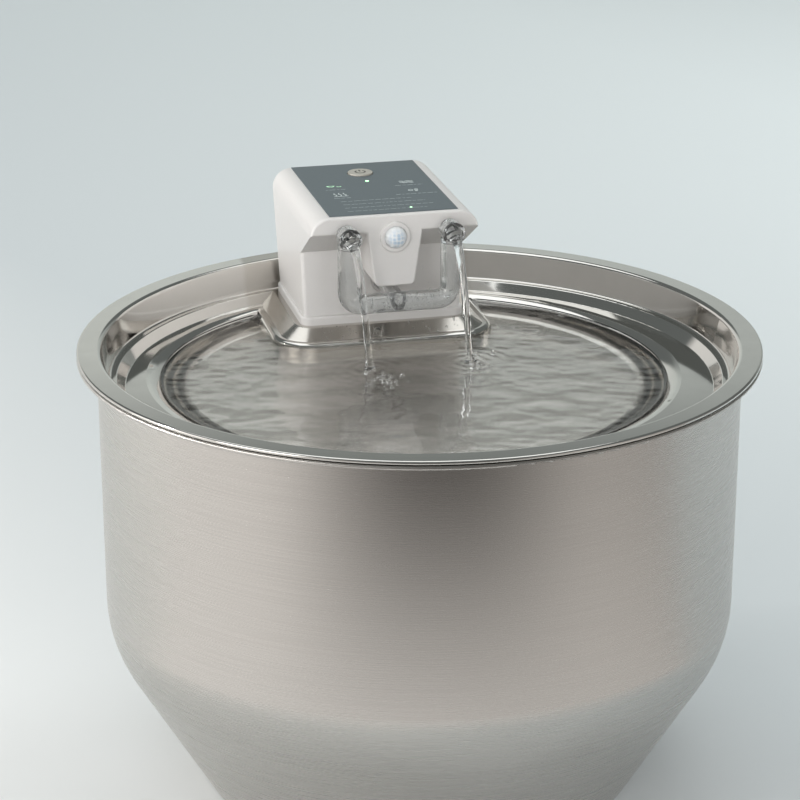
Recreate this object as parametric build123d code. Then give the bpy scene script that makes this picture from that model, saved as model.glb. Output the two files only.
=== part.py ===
"""Cordless pet water fountain: a deep steel bowl, a steel drinking tray that rests on its rim,
and a white pump module that stands on the tray's platform and reaches down into the bowl.

Millimetres, +Z up, floor at Z 0, bowl axis on Z, module at the back (+Y), drinking side to -Y.
"""

import os

from build123d import *

# --- sheet steel: bowl -------------------------------------------------------------------------
RIM_R = 150.0  # outside of both rolled rims
RIM_TOP = 205.0  # top of the tray's flange above the floor
TOP_HALF = 39.2  # half width of the housing at its top
STEEL = 0.8  # sheet thickness
WALL_INSET = 8.7  # upright wall, in from the rim
WALL_DRAFT = 0.5  # how far the wall leans in towards its foot
BOWL_TAPER_H = 73.6  # height where the wall turns inwards
BOWL_TAPER_BEND = 55.0  # radius of that turn
TAPER_RUN = 43.8  # how far the tapered foot leans in
BOWL_FOOT_BEND = 6.0
BOWL_DISH = 2.5  # the base is pressed up by this much inside its foot ring
FOOT_RING_W = 9.0
BOWL_BEAD_R = 0.95  # rolled edge

# --- sheet steel: tray -------------------------------------------------------------------------
TRAY_BEAD_R = 0.9
FLANGE_W = 10.4  # flange, from the outside in to where the cone wall starts
CONE_RUN = 3.4  # how far the cone wall leans in
LEDGE_W = 3.3
STEP_RUN = 3.6  # steep step from the ledge down to the dry shelf
FLANGE_BEND = 2.0
LEDGE_OUT_BEND = 1.2
LEDGE_IN_BEND = 0.6
SHELF_BEND = 0.6
LEDGE_DROP = 13.5  # ledge and platform, below the rim
SHELF_DROP = 17.7  # dry shelf, below the rim
BASIN_Y = 10.5  # the drinking basin is set back towards the module
BASIN_R = RIM_R - 31.3
BASIN_INSET = 6.7  # from the basin's edge on the shelf to the middle of its bend
BASIN_LAP = 0.5
BASIN_BEND = 11.0
BASIN_WALL_RUN = 13.2  # how far the basin wall leans in over its depth
BASIN_DEPTH = 12.8
BASIN_FLOOR_BEND = 9.0
RIM_GAP = 0.3  # tray bead above the bowl's flange

# --- platform of the tray, under the module ----------------------------------------------------
PLATFORM_HALF = TOP_HALF + 1.8
PLATFORM_FRONT = RIM_R - 83.1
PLATFORM_CORNER = 8.0
PLATFORM_EDGE = 1.4
APRON_RUN = 7.5  # sloping wall round the platform
APRON_CORNER = 13.0
LIP_RUN = 3.5  # narrow lip at the foot of that wall
LIP_CORNER = 18.0
LIP_EDGE = 2.4
OPENING_GAP = 2.0  # round the pump column
SLOT_L = 7.0  # overflow slots in the lip's right side, water runs back under the platform
SLOT_H = 2.2
SLOT_PITCH = 10.0
SLOT_COUNT = 2
SLOT_Y = RIM_R - 42.0

# --- pump module: housing ----------------------------------------------------------------------
WALL = 2.0
SKIRT_HALF = TOP_HALF - 0.7
SKIRT_FRONT = RIM_R - 80.6
SKIRT_BACK = RIM_R - 18.9
SKIRT_H = 4.0
SKIRT_CORNER = 5.0
MODULE_H = 57.7  # platform to the top of the housing
BOTTOM_HALF = TOP_HALF - 2.0
SHOULDER = 9.0
RECESS_Y = RIM_R - 78.5  # lower front wall
HOOD_Y = RIM_R - 104.3  # front of the hood and of the sensor column
HOOD_LIP_H = 46.0  # hood's lower front edge above the skirt
RECESS_H = 31.0  # recess height above the skirt
BACK_TOP_Y = RIM_R - 12.5
BACK_BOTTOM_Y = RIM_R - 19.7
EDGE_SOFT = 2.0
COLUMN_TOP_HALF = 13.2  # shield-shaped sensor column
COLUMN_BOTTOM_HALF = 9.0
COLUMN_DROP = 26.0
COLUMN_CORNER = 2.6

# --- control panel -----------------------------------------------------------------------------
FILM_W = 2 * (TOP_HALF - 9.5)
FILM_FRONT = RIM_R - 102.1
FILM_BACK = RIM_R - 15.0
FILM_T = 0.3
BUTTON_Y = RIM_R - 32.7
BUTTON_R = 5.9
BUTTON_GAP = 0.3
BUTTON_TRAVEL = 0.6
LIGHT_Y = RIM_R - 47.2
LIGHT_R = 0.9
DOT_X = 9.5
DOT_Y = RIM_R - 95.3
DOT_R = 0.6

# --- motion sensor -----------------------------------------------------------------------------
SENSOR_DROP = 10.4  # below the housing's top
SENSOR_RING_R = 7.2
SENSOR_RING_T = 1.4
LENS_R = 5.1
LENS_T = 0.7
LENS_STAND = 0.8  # centre of the dome in front of the housing

# --- clear manifold ----------------------------------------------------------------------------
TUBE_R = 4.5
TUBE_BORE_R = 3.1
TUBE_X = 23.7
TUBE_Y = RIM_R - 112.0
PIPE_H = 15.0  # axis of the cross pipe above the skirt
PIPE_BEND = 6.0
SPOUT_H = 47.0  # axis of the spouts above the skirt
SPOUT_R = 5.2
SPOUT_BORE_R = 3.7
NECK_H = 5.5  # a spout's neck below its axis
SPOUT_REACH = 6.6  # mouth in front of the tube's axis
STUB_R = 3.8
STUB_IN = 8.0  # how deep the inlet stub sits in its socket
SOCKET_R = 5.2
SOCKET_GAP = 0.3

# --- pump column -------------------------------------------------------------------------------
COL_HALF = 29.0
COL_FRONT = RIM_R - 73.0
COL_BACK = RIM_R - 33.0
COL_BOTTOM = 50.0
COL_CORNER = 6.0
COL_POCKET = 2.0  # how far the column enters the base plate
DIVIDER_H = 59.0  # top of the divider above the column's bottom
DIVIDER_T = 2.0
FIT = 0.3  # general clearance

# --- pump --------------------------------------------------------------------------------------
PUMP_R = 17.0
PUMP_H = 30.0
PUMP_EDGE = 1.5
COVER_T = 3.0
CHAMBER_R = 12.5
CHAMBER_H = 7.0
ROTOR_R = 6.2
ROTOR_H = 14.0
ROTOR_GAP = 0.5
SHAFT_R = 1.2
SHAFT_FIT = 0.05
VANE_COUNT = 6
VANE_R = 10.5
VANE_H = 4.0
VANE_T = 1.2
EYE_R = 5.5
NOZZLE_Y = RIM_R - 65.0
NOZZLE_R = 3.0
NOZZLE_BORE_R = 2.0
HOSE_R = 4.5

# --- filter drawer -----------------------------------------------------------------------------
DRAWER_HALF = 25.2
DRAWER_DEPTH = 34.0
DRAWER_T = 1.6
PULL_OUT = 1.4  # finger ridge, passes the tray's opening
WINDOW_INSET = 3.0
GRILLE_SLOT_W = 2.4
GRILLE_PITCH = 5.0
GRILLE_COUNT = 8
SPONGE_T = 5.0
CARTRIDGE_T = 16.0

# --- electrics ---------------------------------------------------------------------------------
BOARD_T = 1.6
BOARD_W = 2 * (TOP_HALF - 8.2)
BOARD_FRONT = RIM_R - 66.0
BOARD_BACK = RIM_R - 20.0
BOARD_DROP = 9.6  # board's top below the housing's top
CELL_R = 9.1
CELL_L = 50.0
CELL_PITCH = 19.0
CELL_Y = RIM_R - 40.7
SCREW_X = TOP_HALF - 6.4
SCREW_FRONT = RIM_R - 72.5
SCREW_BACK = RIM_R - 26.0
PORT_W = 9.0
PORT_H = 3.2
PORT_DEPTH = 7.4
PORT_UP = 26.5  # above the skirt
FLAP_W = 14.0
FLAP_H = 8.5
FLAP_T = 1.6
FLAP_CORNER = 2.5

BOARD_EDGE = 4.0  # post centres in from the board's corners
POST_R = 2.5
CHIP_W = 10.0
CHIP_H = 1.4
CHIP_X = -17.0
COIL_W = 8.0
COIL_H = 3.5
COIL_X = 16.0
PLUG_W = 12.0
PLUG_D = 5.0
PLUG_H = 5.0
SWITCH_W = 6.0
SWITCH_H = 3.5
SWITCH_R = 1.7
SWITCH_TRAVEL = 0.7
SCREW_R = 1.15
SCREW_HEAD_R = 2.4
SCREW_HEAD_H = 1.4
SCREW_IN = 11.0  # shank's length in its post
BOSS_R = 2.9
SEAL_W = 1.0
SEAL_T = 1.0
SEAL_CORNER = 3.0

# --- worked-out sizes and levels ---------------------------------------------------------------
BOWL_WALL_R = RIM_R - WALL_INSET
BOWL_BASE_R = BOWL_WALL_R - WALL_DRAFT - TAPER_RUN
FLANGE_IN_R = RIM_R - FLANGE_W
LEDGE_OUT_R = FLANGE_IN_R - CONE_RUN
LEDGE_IN_R = LEDGE_OUT_R - LEDGE_W
SHELF_R = LEDGE_IN_R - STEP_RUN
PLATFORM_Z = RIM_TOP - LEDGE_DROP
SHELF_Z = RIM_TOP - SHELF_DROP
SKIRT_TOP = PLATFORM_Z + SKIRT_H
MODULE_TOP = PLATFORM_Z + MODULE_H
COL_Y = (COL_FRONT + COL_BACK) / 2
COL_TOP = PLATFORM_Z + COL_POCKET
DIVIDER_Z = COL_BOTTOM + DIVIDER_H
PIPE_Z = SKIRT_TOP + PIPE_H
SPOUT_Z = SKIRT_TOP + SPOUT_H
SENSOR_Z = MODULE_TOP - SENSOR_DROP
BOARD_Z = MODULE_TOP - BOARD_DROP
BACK_SLOPE = (BACK_TOP_Y - BACK_BOTTOM_Y) / (MODULE_TOP - SKIRT_TOP)
PUMP_Z = DIVIDER_Z + COVER_T
PUMP_TOP = PUMP_Z + PUMP_H


def turned(profile):
    """Revolve an (r, z) profile face about the bowl's axis."""
    return revolve(Plane.XZ * profile, axis=Axis.Z)


def torus_at(ring_r, z, wire_r):
    """A ring of round section, centred on the bowl's axis."""
    return Pos(0, 0, z) * Torus(ring_r, wire_r)


def rod(start, end, radius):
    """A round bar from one point to another."""
    path = Vector(*end) - Vector(*start)
    return extrude(Plane(origin=start, z_dir=path) * Circle(radius), amount=path.length)


def block(x0, x1, y0, y1, z0, z1):
    """A box given by its limits."""
    return Pos((x0 + x1) / 2, (y0 + y1) / 2, (z0 + z1) / 2) * Box(x1 - x0, y1 - y0, z1 - z0)


def rounded_block(x0, x1, y0, y1, z0, z1, corner):
    """A box with rounded upright edges."""
    outline = Pos((x0 + x1) / 2, (y0 + y1) / 2, z0) * RectangleRounded(x1 - x0, y1 - y0, corner)
    return extrude(outline, amount=z1 - z0)


def back_wall_y(z):
    """The sloping back of the housing at height z."""
    return BACK_BOTTOM_Y + BACK_SLOPE * (z - SKIRT_TOP)


# --- bowl --------------------------------------------------------------------------------------
def reservoir_bowl():
    """Deep drawn bowl: upright wall, tapered foot, flange with a rolled edge."""
    flange_z = RIM_TOP - 2 * TRAY_BEAD_R - RIM_GAP
    bead_ring = RIM_R - BOWL_BEAD_R
    outside = FilletPolyline(
        (bead_ring, flange_z - STEEL),
        (BOWL_WALL_R, flange_z - STEEL),
        (BOWL_WALL_R - WALL_DRAFT, BOWL_TAPER_H),
        (BOWL_BASE_R, 0),
        (BOWL_BASE_R - FOOT_RING_W, 0),
        (BOWL_BASE_R - FOOT_RING_W - 3 * BOWL_DISH, BOWL_DISH),
        (0, BOWL_DISH),
        radius=[1.2, BOWL_TAPER_BEND, BOWL_FOOT_BEND, 2.0, 3.0],
    )
    sheet = make_face(offset(outside, amount=STEEL, side=Side.RIGHT, closed=True))
    sheet = sheet - Pos(-RIM_R, 0) * Rectangle(2 * RIM_R, 4 * RIM_TOP)
    bead = torus_at(bead_ring, flange_z - BOWL_BEAD_R, BOWL_BEAD_R)
    return turned(sheet) + bead


# --- tray --------------------------------------------------------------------------------------
def tray_pan_line():
    """Upper surface of the round pan, from the flange in to the axis."""
    return FilletPolyline(
        (RIM_R - TRAY_BEAD_R, RIM_TOP),
        (FLANGE_IN_R, RIM_TOP),
        (LEDGE_OUT_R, PLATFORM_Z),
        (LEDGE_IN_R, PLATFORM_Z),
        (SHELF_R, SHELF_Z),
        (0, SHELF_Z),
        radius=[FLANGE_BEND, LEDGE_OUT_BEND, LEDGE_IN_BEND, SHELF_BEND],
    )


def basin_line():
    """Upper surface of the drinking basin, from the shelf in to its own axis."""
    corner = BASIN_R - BASIN_INSET
    floor_z = SHELF_Z - BASIN_DEPTH
    return FilletPolyline(
        (BASIN_R + BASIN_LAP, SHELF_Z),
        (corner, SHELF_Z),
        (corner - BASIN_WALL_RUN / 2, floor_z),
        (0, floor_z),
        radius=[BASIN_BEND, BASIN_FLOOR_BEND],
    )


def sheet_below(line):
    """Section of the steel sheet whose upper surface is the line."""
    sheet = make_face(offset(line, amount=STEEL, side=Side.LEFT, closed=True))
    if sheet.bounding_box().max.Y > RIM_TOP + STEEL / 2:
        sheet = make_face(offset(line, amount=STEEL, side=Side.RIGHT, closed=True))
    return sheet - Pos(-RIM_R, 0) * Rectangle(2 * RIM_R, 4 * RIM_TOP)


def platform_boss(inset):
    """Pressed-up platform: sloping wall and a narrow lip, all faces moved in by inset."""
    back = LEDGE_OUT_R + 20
    foot_z = SHELF_Z - 0.3 - inset
    low_z = SHELF_Z - BASIN_DEPTH - 4
    half = PLATFORM_HALF + APRON_RUN + LIP_RUN - inset
    front = PLATFORM_FRONT - APRON_RUN - LIP_RUN + inset
    lip = rounded_block(-half, half, front, back, low_z, foot_z, LIP_CORNER - inset)
    top_edges = lip.faces().sort_by(Axis.Z)[-1].edges()
    lip = fillet(top_edges, LIP_EDGE - inset)
    wide = PLATFORM_HALF + APRON_RUN - inset
    wide_front = PLATFORM_FRONT - APRON_RUN + inset
    narrow = PLATFORM_HALF - inset
    narrow_front = PLATFORM_FRONT + inset
    low = RectangleRounded(2 * wide, back - wide_front, APRON_CORNER - inset)
    high = RectangleRounded(2 * narrow, back - narrow_front, PLATFORM_CORNER - inset)
    wall = loft(
        [
            Pos(0, (back + wide_front) / 2, foot_z - 0.4) * low,
            Pos(0, (back + narrow_front) / 2, PLATFORM_Z - inset) * high,
        ]
    )
    if inset == 0:
        wall = fillet(wall.faces().sort_by(Axis.Z)[-1].edges(), PLATFORM_EDGE)
    middle_r = (LEDGE_OUT_R + LEDGE_IN_R) / 2 - inset
    limit = Pos(0, 0, low_z - 1) * Cylinder(middle_r, 60, align=(Align.CENTER, Align.CENTER, Align.MIN))
    return (lip + wall) & limit


def drinking_tray():
    """Polished tray: rolled flange, cone wall, ledge, dry shelf, offset basin, raised platform."""
    outer = platform_boss(0)
    boss_sheet = outer - platform_boss(STEEL)
    hole = Pos(0, BASIN_Y, SHELF_Z) * Cylinder(BASIN_R, 20)
    pan = turned(sheet_below(tray_pan_line())) - hole - outer
    basin = Pos(0, BASIN_Y, 0) * turned(sheet_below(basin_line())) - outer
    floor_z = SHELF_Z - BASIN_DEPTH
    low_space = Pos(0, BASIN_Y, floor_z - STEEL) * Cylinder(
        BASIN_R - BASIN_INSET - BASIN_WALL_RUN / 2, 30, align=(Align.CENTER, Align.CENTER, Align.MIN)
    )
    high_space = Pos(0, 0, SHELF_Z - STEEL) * Cylinder(
        LEDGE_OUT_R, 30, align=(Align.CENTER, Align.CENTER, Align.MIN)
    )
    tray = pan + basin
    tray = tray + (boss_sheet & low_space)
    tray = tray + (boss_sheet & high_space)
    opening = rounded_block(
        -COL_HALF - OPENING_GAP,
        COL_HALF + OPENING_GAP,
        COL_FRONT - OPENING_GAP,
        COL_BACK + OPENING_GAP,
        SHELF_Z,
        PLATFORM_Z + 1,
        COL_CORNER,
    )
    tray = tray - opening
    side_x = PLATFORM_HALF + APRON_RUN + LIP_RUN
    slot_top = SHELF_Z - 0.3 - LIP_EDGE / 2
    for index in range(SLOT_COUNT):
        y = SLOT_Y + SLOT_PITCH * index
        tray = tray - block(side_x - 3, side_x + 1, y - SLOT_L / 2, y + SLOT_L / 2, slot_top - SLOT_H, slot_top)
    bead = torus_at(RIM_R - TRAY_BEAD_R, RIM_TOP - TRAY_BEAD_R, TRAY_BEAD_R)
    return tray + bead


# --- housing -----------------------------------------------------------------------------------
def side_outline(inset):
    """Side view of the housing as a face in (y, z), moved in by inset."""
    outline = Polyline(
        (RECESS_Y, SKIRT_TOP),
        (RECESS_Y, SKIRT_TOP + RECESS_H),
        (HOOD_Y, SKIRT_TOP + HOOD_LIP_H),
        (HOOD_Y, MODULE_TOP),
        (BACK_TOP_Y, MODULE_TOP),
        (BACK_BOTTOM_Y, SKIRT_TOP),
        close=True,
    )
    face = make_face(outline)
    if inset:
        face = offset(face, amount=-inset, kind=Kind.INTERSECTION)
    return face


def front_outline(inset):
    """Front view of the housing as a face in (x, z): leaning sides and round shoulders."""
    corners = [
        (-BOTTOM_HALF, SKIRT_TOP),
        (BOTTOM_HALF, SKIRT_TOP),
        (TOP_HALF, MODULE_TOP),
        (-TOP_HALF, MODULE_TOP),
    ]
    face = make_face(Polyline(*corners, close=True))
    top = face.vertices().sort_by(Axis.Y)[-2:]
    face = fillet(top, SHOULDER)
    if inset:
        face = offset(face, amount=-inset, kind=Kind.INTERSECTION)
    return face


def housing_solid(inset):
    """Solid form of the housing, moved in by inset."""
    sides = extrude(Plane.YZ.offset(-TOP_HALF - 5) * side_outline(inset), amount=2 * TOP_HALF + 10)
    start = Plane(origin=(0, BACK_TOP_Y + 5, 0), x_dir=(1, 0, 0), z_dir=(0, -1, 0))
    fronts = extrude(start * front_outline(inset), amount=BACK_TOP_Y - HOOD_Y + 20)
    return sides & fronts


def column_outline(inset):
    """Shield-shaped sensor column in (x, z)."""
    top_z = SKIRT_TOP + HOOD_LIP_H + 2
    low_z = top_z - 2 - COLUMN_DROP
    face = make_face(
        Polyline(
            (-COLUMN_BOTTOM_HALF, low_z),
            (COLUMN_BOTTOM_HALF, low_z),
            (COLUMN_TOP_HALF, top_z),
            (-COLUMN_TOP_HALF, top_z),
            close=True,
        )
    )
    face = fillet(face.vertices().sort_by(Axis.Y)[:2], COLUMN_CORNER)
    if inset:
        face = offset(face, amount=-inset, kind=Kind.INTERSECTION)
    return face


def main_shell():
    """White upper housing: round shoulders, front hood, recess, sensor column, inner posts."""
    outer = housing_solid(0)
    back_edges = outer.faces().sort_by(Axis.Y)[-1].edges()
    outer = fillet(back_edges.filter_by(lambda e: e.center().Z > SKIRT_TOP + 1), EDGE_SOFT)
    front_face = outer.faces().sort_by(Axis.Y)[0]
    outer = fillet(front_face.edges(), 1.2)
    recess = [
        e
        for e in outer.edges()
        if abs(e.center().Y - RECESS_Y) < 0.6 and abs(e.center().X) > BOTTOM_HALF - 3 and e.length > 20
    ]
    outer = fillet(recess, EDGE_SOFT)
    plane = Plane(origin=(0, RECESS_Y + 1, 0), x_dir=(1, 0, 0), z_dir=(0, -1, 0))
    column = extrude(plane * column_outline(0), amount=RECESS_Y + 1 - HOOD_Y)
    column = fillet(column.faces().sort_by(Axis.Y)[0].edges().sort_by(Axis.Z)[:-1], 1.0)
    body = outer + column
    cavity = housing_solid(WALL)
    cavity = cavity + extrude(Plane.XY.offset(SKIRT_TOP - 1) * cavity_outline(), amount=WALL + 2)
    plane_in = Plane(origin=(0, RECESS_Y + WALL + 1, 0), x_dir=(1, 0, 0), z_dir=(0, -1, 0))
    column_in = extrude(plane_in * column_outline(WALL), amount=RECESS_Y + 1 - HOOD_Y)
    shell = body - cavity - column_in
    for x in (-SCREW_X, SCREW_X):
        for y in (SCREW_FRONT, SCREW_BACK):
            shell = shell + rod((x, y, SKIRT_TOP), (x, y, SKIRT_TOP + SCREW_IN + 2), BOSS_R)
            shell = shell - rod((x, y, SKIRT_TOP - 1), (x, y, SKIRT_TOP + SCREW_IN + 1), SCREW_R + FIT / 2)
    for x in (-BOARD_W / 2 + BOARD_EDGE, BOARD_W / 2 - BOARD_EDGE):
        for y in (BOARD_FRONT + BOARD_EDGE, BOARD_BACK - BOARD_EDGE):
            shell = shell + rod((x, y, BOARD_Z), (x, y, MODULE_TOP - WALL / 2), POST_R)
    shell = shell - rod((0, BUTTON_Y, BOARD_Z), (0, BUTTON_Y, MODULE_TOP + 1), BUTTON_R + BUTTON_GAP)
    shell = shell - rod((0, LIGHT_Y, BOARD_Z), (0, LIGHT_Y, MODULE_TOP + 1), LIGHT_R)
    shell = shell - rod((DOT_X, DOT_Y, BOARD_Z), (DOT_X, DOT_Y, MODULE_TOP + 1), DOT_R)
    shell = shell - rod((0, HOOD_Y - 2, SENSOR_Z), (0, HOOD_Y + WALL + 2, SENSOR_Z), LENS_R + FIT)
    shell = shell - rod((0, RECESS_Y - 2, PIPE_Z), (0, RECESS_Y + WALL + 2, PIPE_Z), SOCKET_R + FIT)
    port_z = SKIRT_TOP + PORT_UP
    port_y = back_wall_y(port_z)
    shell = shell - block(
        -PORT_W / 2 - FIT,
        PORT_W / 2 + FIT,
        port_y - 6,
        port_y + 2,
        port_z - PORT_H / 2 - FIT,
        port_z + PORT_H / 2 + FIT,
    )
    return shell


def cavity_outline():
    """Plan of the housing's open underside."""
    front = RECESS_Y + WALL
    back = BACK_BOTTOM_Y - WALL
    outline = RectangleRounded(2 * (BOTTOM_HALF - WALL), back - front, 1.5)
    return Pos(0, (front + back) / 2) * outline


def base_plate():
    """Bottom of the module: skirt that stands on the platform, pocket for the pump column."""
    plate = rounded_block(-SKIRT_HALF, SKIRT_HALF, SKIRT_FRONT, SKIRT_BACK, PLATFORM_Z, SKIRT_TOP, SKIRT_CORNER)
    plate = fillet(plate.faces().sort_by(Axis.Z)[-1].edges(), 1.0)
    pocket = rounded_block(
        -COL_HALF - 0.1,
        COL_HALF + 0.1,
        COL_FRONT - 0.1,
        COL_BACK + 0.1,
        PLATFORM_Z - 1,
        COL_TOP,
        COL_CORNER,
    )
    plate = plate - pocket
    plate = plate - rod((0, NOZZLE_Y, PLATFORM_Z), (0, NOZZLE_Y, SKIRT_TOP + 1), HOSE_R + FIT)
    for x in (-SCREW_X, SCREW_X):
        for y in (SCREW_FRONT, SCREW_BACK):
            seat = PLATFORM_Z + SCREW_HEAD_H + 0.5
            plate = plate - rod((x, y, PLATFORM_Z - 1), (x, y, SKIRT_TOP + 1), SCREW_R + FIT)
            plate = plate - rod((x, y, PLATFORM_Z - 1), (x, y, seat), SCREW_HEAD_R + FIT)
    return plate - seal_ring(0.2, SEAL_T + 0.1)


def seal_ring(extra, depth):
    """Rectangular ring under the shell's edge; extra widens it into its own groove."""
    front = RECESS_Y + WALL / 2
    back = BACK_BOTTOM_Y - WALL / 2
    middle = (front + back) / 2
    half = BOTTOM_HALF - WALL / 2
    wide = SEAL_W + extra
    outer = RectangleRounded(2 * half + wide, back - front + wide, SEAL_CORNER + SEAL_W / 2)
    inner = RectangleRounded(2 * half - wide, back - front - wide, SEAL_CORNER - SEAL_W / 2)
    return extrude(Pos(0, middle, SKIRT_TOP - depth) * (outer - inner), amount=depth)


def housing_screws():
    """Four pan-head screws that hold the base plate to the shell."""
    screws = []
    for x in (-SCREW_X, SCREW_X):
        for y in (SCREW_FRONT, SCREW_BACK):
            low = PLATFORM_Z + 0.4
            head = rod((x, y, low), (x, y, low + SCREW_HEAD_H), SCREW_HEAD_R)
            shank = rod((x, y, low + SCREW_HEAD_H / 2), (x, y, SKIRT_TOP + SCREW_IN), SCREW_R)
            screws.append(head + shank)
    return Compound(children=screws)


# --- control panel -----------------------------------------------------------------------------
def control_panel():
    """Printed film on the housing's top, with holes for the button and the two lights."""
    middle = (FILM_FRONT + FILM_BACK) / 2
    film = Pos(0, middle, MODULE_TOP) * Rectangle(FILM_W, FILM_BACK - FILM_FRONT)
    panel = extrude(film, amount=FILM_T)
    panel = panel - rod((0, BUTTON_Y, MODULE_TOP - 1), (0, BUTTON_Y, MODULE_TOP + 2), BUTTON_R + BUTTON_GAP)
    panel = panel - rod((0, LIGHT_Y, MODULE_TOP - 1), (0, LIGHT_Y, MODULE_TOP + 2), LIGHT_R)
    return panel - rod((DOT_X, DOT_Y, MODULE_TOP - 1), (DOT_X, DOT_Y, MODULE_TOP + 2), DOT_R)


def power_button():
    """Round push button with a retaining flange and a plunger over the switch."""
    top = MODULE_TOP + FILM_T + BUTTON_TRAVEL + 0.1
    cap = rod((0, BUTTON_Y, MODULE_TOP - WALL - 0.3), (0, BUTTON_Y, top), BUTTON_R)
    cap = fillet(cap.faces().sort_by(Axis.Z)[-1].edges(), 0.4)
    flange = rod(
        (0, BUTTON_Y, MODULE_TOP - WALL - 1.3), (0, BUTTON_Y, MODULE_TOP - WALL - 0.3), BUTTON_R + 1.2
    )
    low = BOARD_Z + SWITCH_H + 2 * SWITCH_TRAVEL
    plunger = rod((0, BUTTON_Y, low), (0, BUTTON_Y, MODULE_TOP - WALL - 1.2), SWITCH_R - 0.2)
    return cap + flange + plunger


def tact_switch():
    """Switch under the power button."""
    body = Pos(0, BUTTON_Y, BOARD_Z + SWITCH_H / 2) * Box(SWITCH_W, SWITCH_W, SWITCH_H)
    return body + rod((0, BUTTON_Y, BOARD_Z), (0, BUTTON_Y, BOARD_Z + SWITCH_H + SWITCH_TRAVEL), SWITCH_R)


def status_lights():
    """Clear light guides: one by the button that reaches the board, one near the front edge."""
    top = MODULE_TOP + FILM_T + 0.1
    near = rod((0, LIGHT_Y, BOARD_Z + 0.3), (0, LIGHT_Y, top), LIGHT_R - 0.05)
    far = rod((DOT_X, DOT_Y, MODULE_TOP - WALL), (DOT_X, DOT_Y, top), DOT_R - 0.05)
    return Compound(children=[near, far])


def main_board():
    """Circuit board on four posts under the top, with its larger components."""
    board = block(-BOARD_W / 2, BOARD_W / 2, BOARD_FRONT, BOARD_BACK, BOARD_Z - BOARD_T, BOARD_Z)
    under = BOARD_Z - BOARD_T
    middle = (BOARD_FRONT + BOARD_BACK) / 2
    chip = Pos(CHIP_X, middle, under - CHIP_H / 2) * Box(CHIP_W, CHIP_W, CHIP_H)
    coil = Pos(COIL_X, middle, under - COIL_H / 2) * Box(COIL_W, COIL_W, COIL_H)
    plug = Pos(0, BOARD_FRONT + PLUG_D, under - PLUG_H / 2) * Box(PLUG_W, PLUG_D, PLUG_H)
    return board + chip + coil + plug


# --- sensor ------------------------------------------------------------------------------------
def sensor_ring():
    """Round bezel that holds the lens in the sensor column."""
    y0 = HOOD_Y - SENSOR_RING_T
    ring = rod((0, y0, SENSOR_Z), (0, HOOD_Y, SENSOR_Z), SENSOR_RING_R)
    ring = fillet(ring.faces().sort_by(Axis.Y)[0].edges(), 0.9)
    return ring - rod((0, y0 - 1, SENSOR_Z), (0, HOOD_Y + 1, SENSOR_Z), LENS_R + 0.1)


def sensor_lens():
    """Milky dome lens, hollow, with a foot that reaches through the wall."""
    y0 = HOOD_Y - LENS_STAND
    dome = Pos(0, y0, SENSOR_Z) * Sphere(LENS_R)
    dome = dome & block(-9, 9, y0 - 9, y0, SENSOR_Z - 9, SENSOR_Z + 9)
    foot = rod((0, y0, SENSOR_Z), (0, HOOD_Y + WALL + 0.4, SENSOR_Z), LENS_R)
    hollow = Pos(0, y0, SENSOR_Z) * Sphere(LENS_R - LENS_T)
    bore = rod((0, y0, SENSOR_Z), (0, HOOD_Y + WALL + 2, SENSOR_Z), LENS_R - LENS_T)
    return dome + foot - hollow - bore


def motion_sensor():
    """Metal-can sensor behind the lens."""
    y0 = HOOD_Y + WALL + 0.7
    can = rod((0, y0, SENSOR_Z), (0, y0 + 4, SENSOR_Z), 4.1)
    flange = rod((0, y0 + 3.2, SENSOR_Z), (0, y0 + 4, SENSOR_Z), 4.6)
    return can + flange


def sensor_board():
    """Small board that carries the sensor in the column."""
    y0 = HOOD_Y + WALL + 4.7
    return block(-9.0, 9.0, y0, y0 + 1.2, SENSOR_Z - 5.5, SENSOR_Z + 5.5)


# --- power -------------------------------------------------------------------------------------
def battery_cells():
    """Two cylindrical cells side by side."""
    z = SKIRT_TOP + 2.2 + CELL_R
    cells = []
    for sign in (-0.5, 0.5):
        y = CELL_Y + sign * CELL_PITCH
        can = rod((-CELL_L / 2, y, z), (CELL_L / 2 - 1.0, y, z), CELL_R)
        can = can + rod((CELL_L / 2 - 1.0, y, z), (CELL_L / 2, y, z), 3.0)
        cells.append(can)
    return Compound(children=cells)


def battery_tray():
    """Cradle for the cells, on the base plate."""
    z = SKIRT_TOP + 2.2 + CELL_R
    half = CELL_L / 2 + 2.0
    y0 = CELL_Y - CELL_PITCH / 2 - CELL_R
    y1 = CELL_Y + CELL_PITCH / 2 + CELL_R
    tray = block(-half, half, y0, y1, SKIRT_TOP, z - 2)
    for sign in (-0.5, 0.5):
        y = CELL_Y + sign * CELL_PITCH
        tray = tray - rod((-CELL_L / 2 - 0.2, y, z), (CELL_L / 2 + 0.2, y, z), CELL_R + 0.2)
    return tray


def charging_port():
    """Charging socket in the back wall."""
    z = SKIRT_TOP + PORT_UP
    y = back_wall_y(z) - 0.8
    shell = block(-PORT_W / 2, PORT_W / 2, y - PORT_DEPTH, y, z - PORT_H / 2, z + PORT_H / 2)
    shell = fillet(shell.edges().filter_by(Axis.Y), 1.2)
    mouth = block(-PORT_W / 2 + 0.4, PORT_W / 2 - 0.4, y - 6, y + 1, z - PORT_H / 2 + 0.4, z + PORT_H / 2 - 0.4)
    tongue = block(-3.3, 3.3, y - 6.5, y - 1.5, z - 0.35, z + 0.35)
    board = block(-8, 8, y - PORT_DEPTH - 4, y - 1.7, z - PORT_H / 2 - 1.2, z - PORT_H / 2)
    return shell - mouth + tongue + board


def flap_hinge():
    """Point on the flap's hinge line."""
    z = SKIRT_TOP + PORT_UP - FLAP_H / 2
    return (0, back_wall_y(z) + FLAP_T / 2, z)


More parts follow.
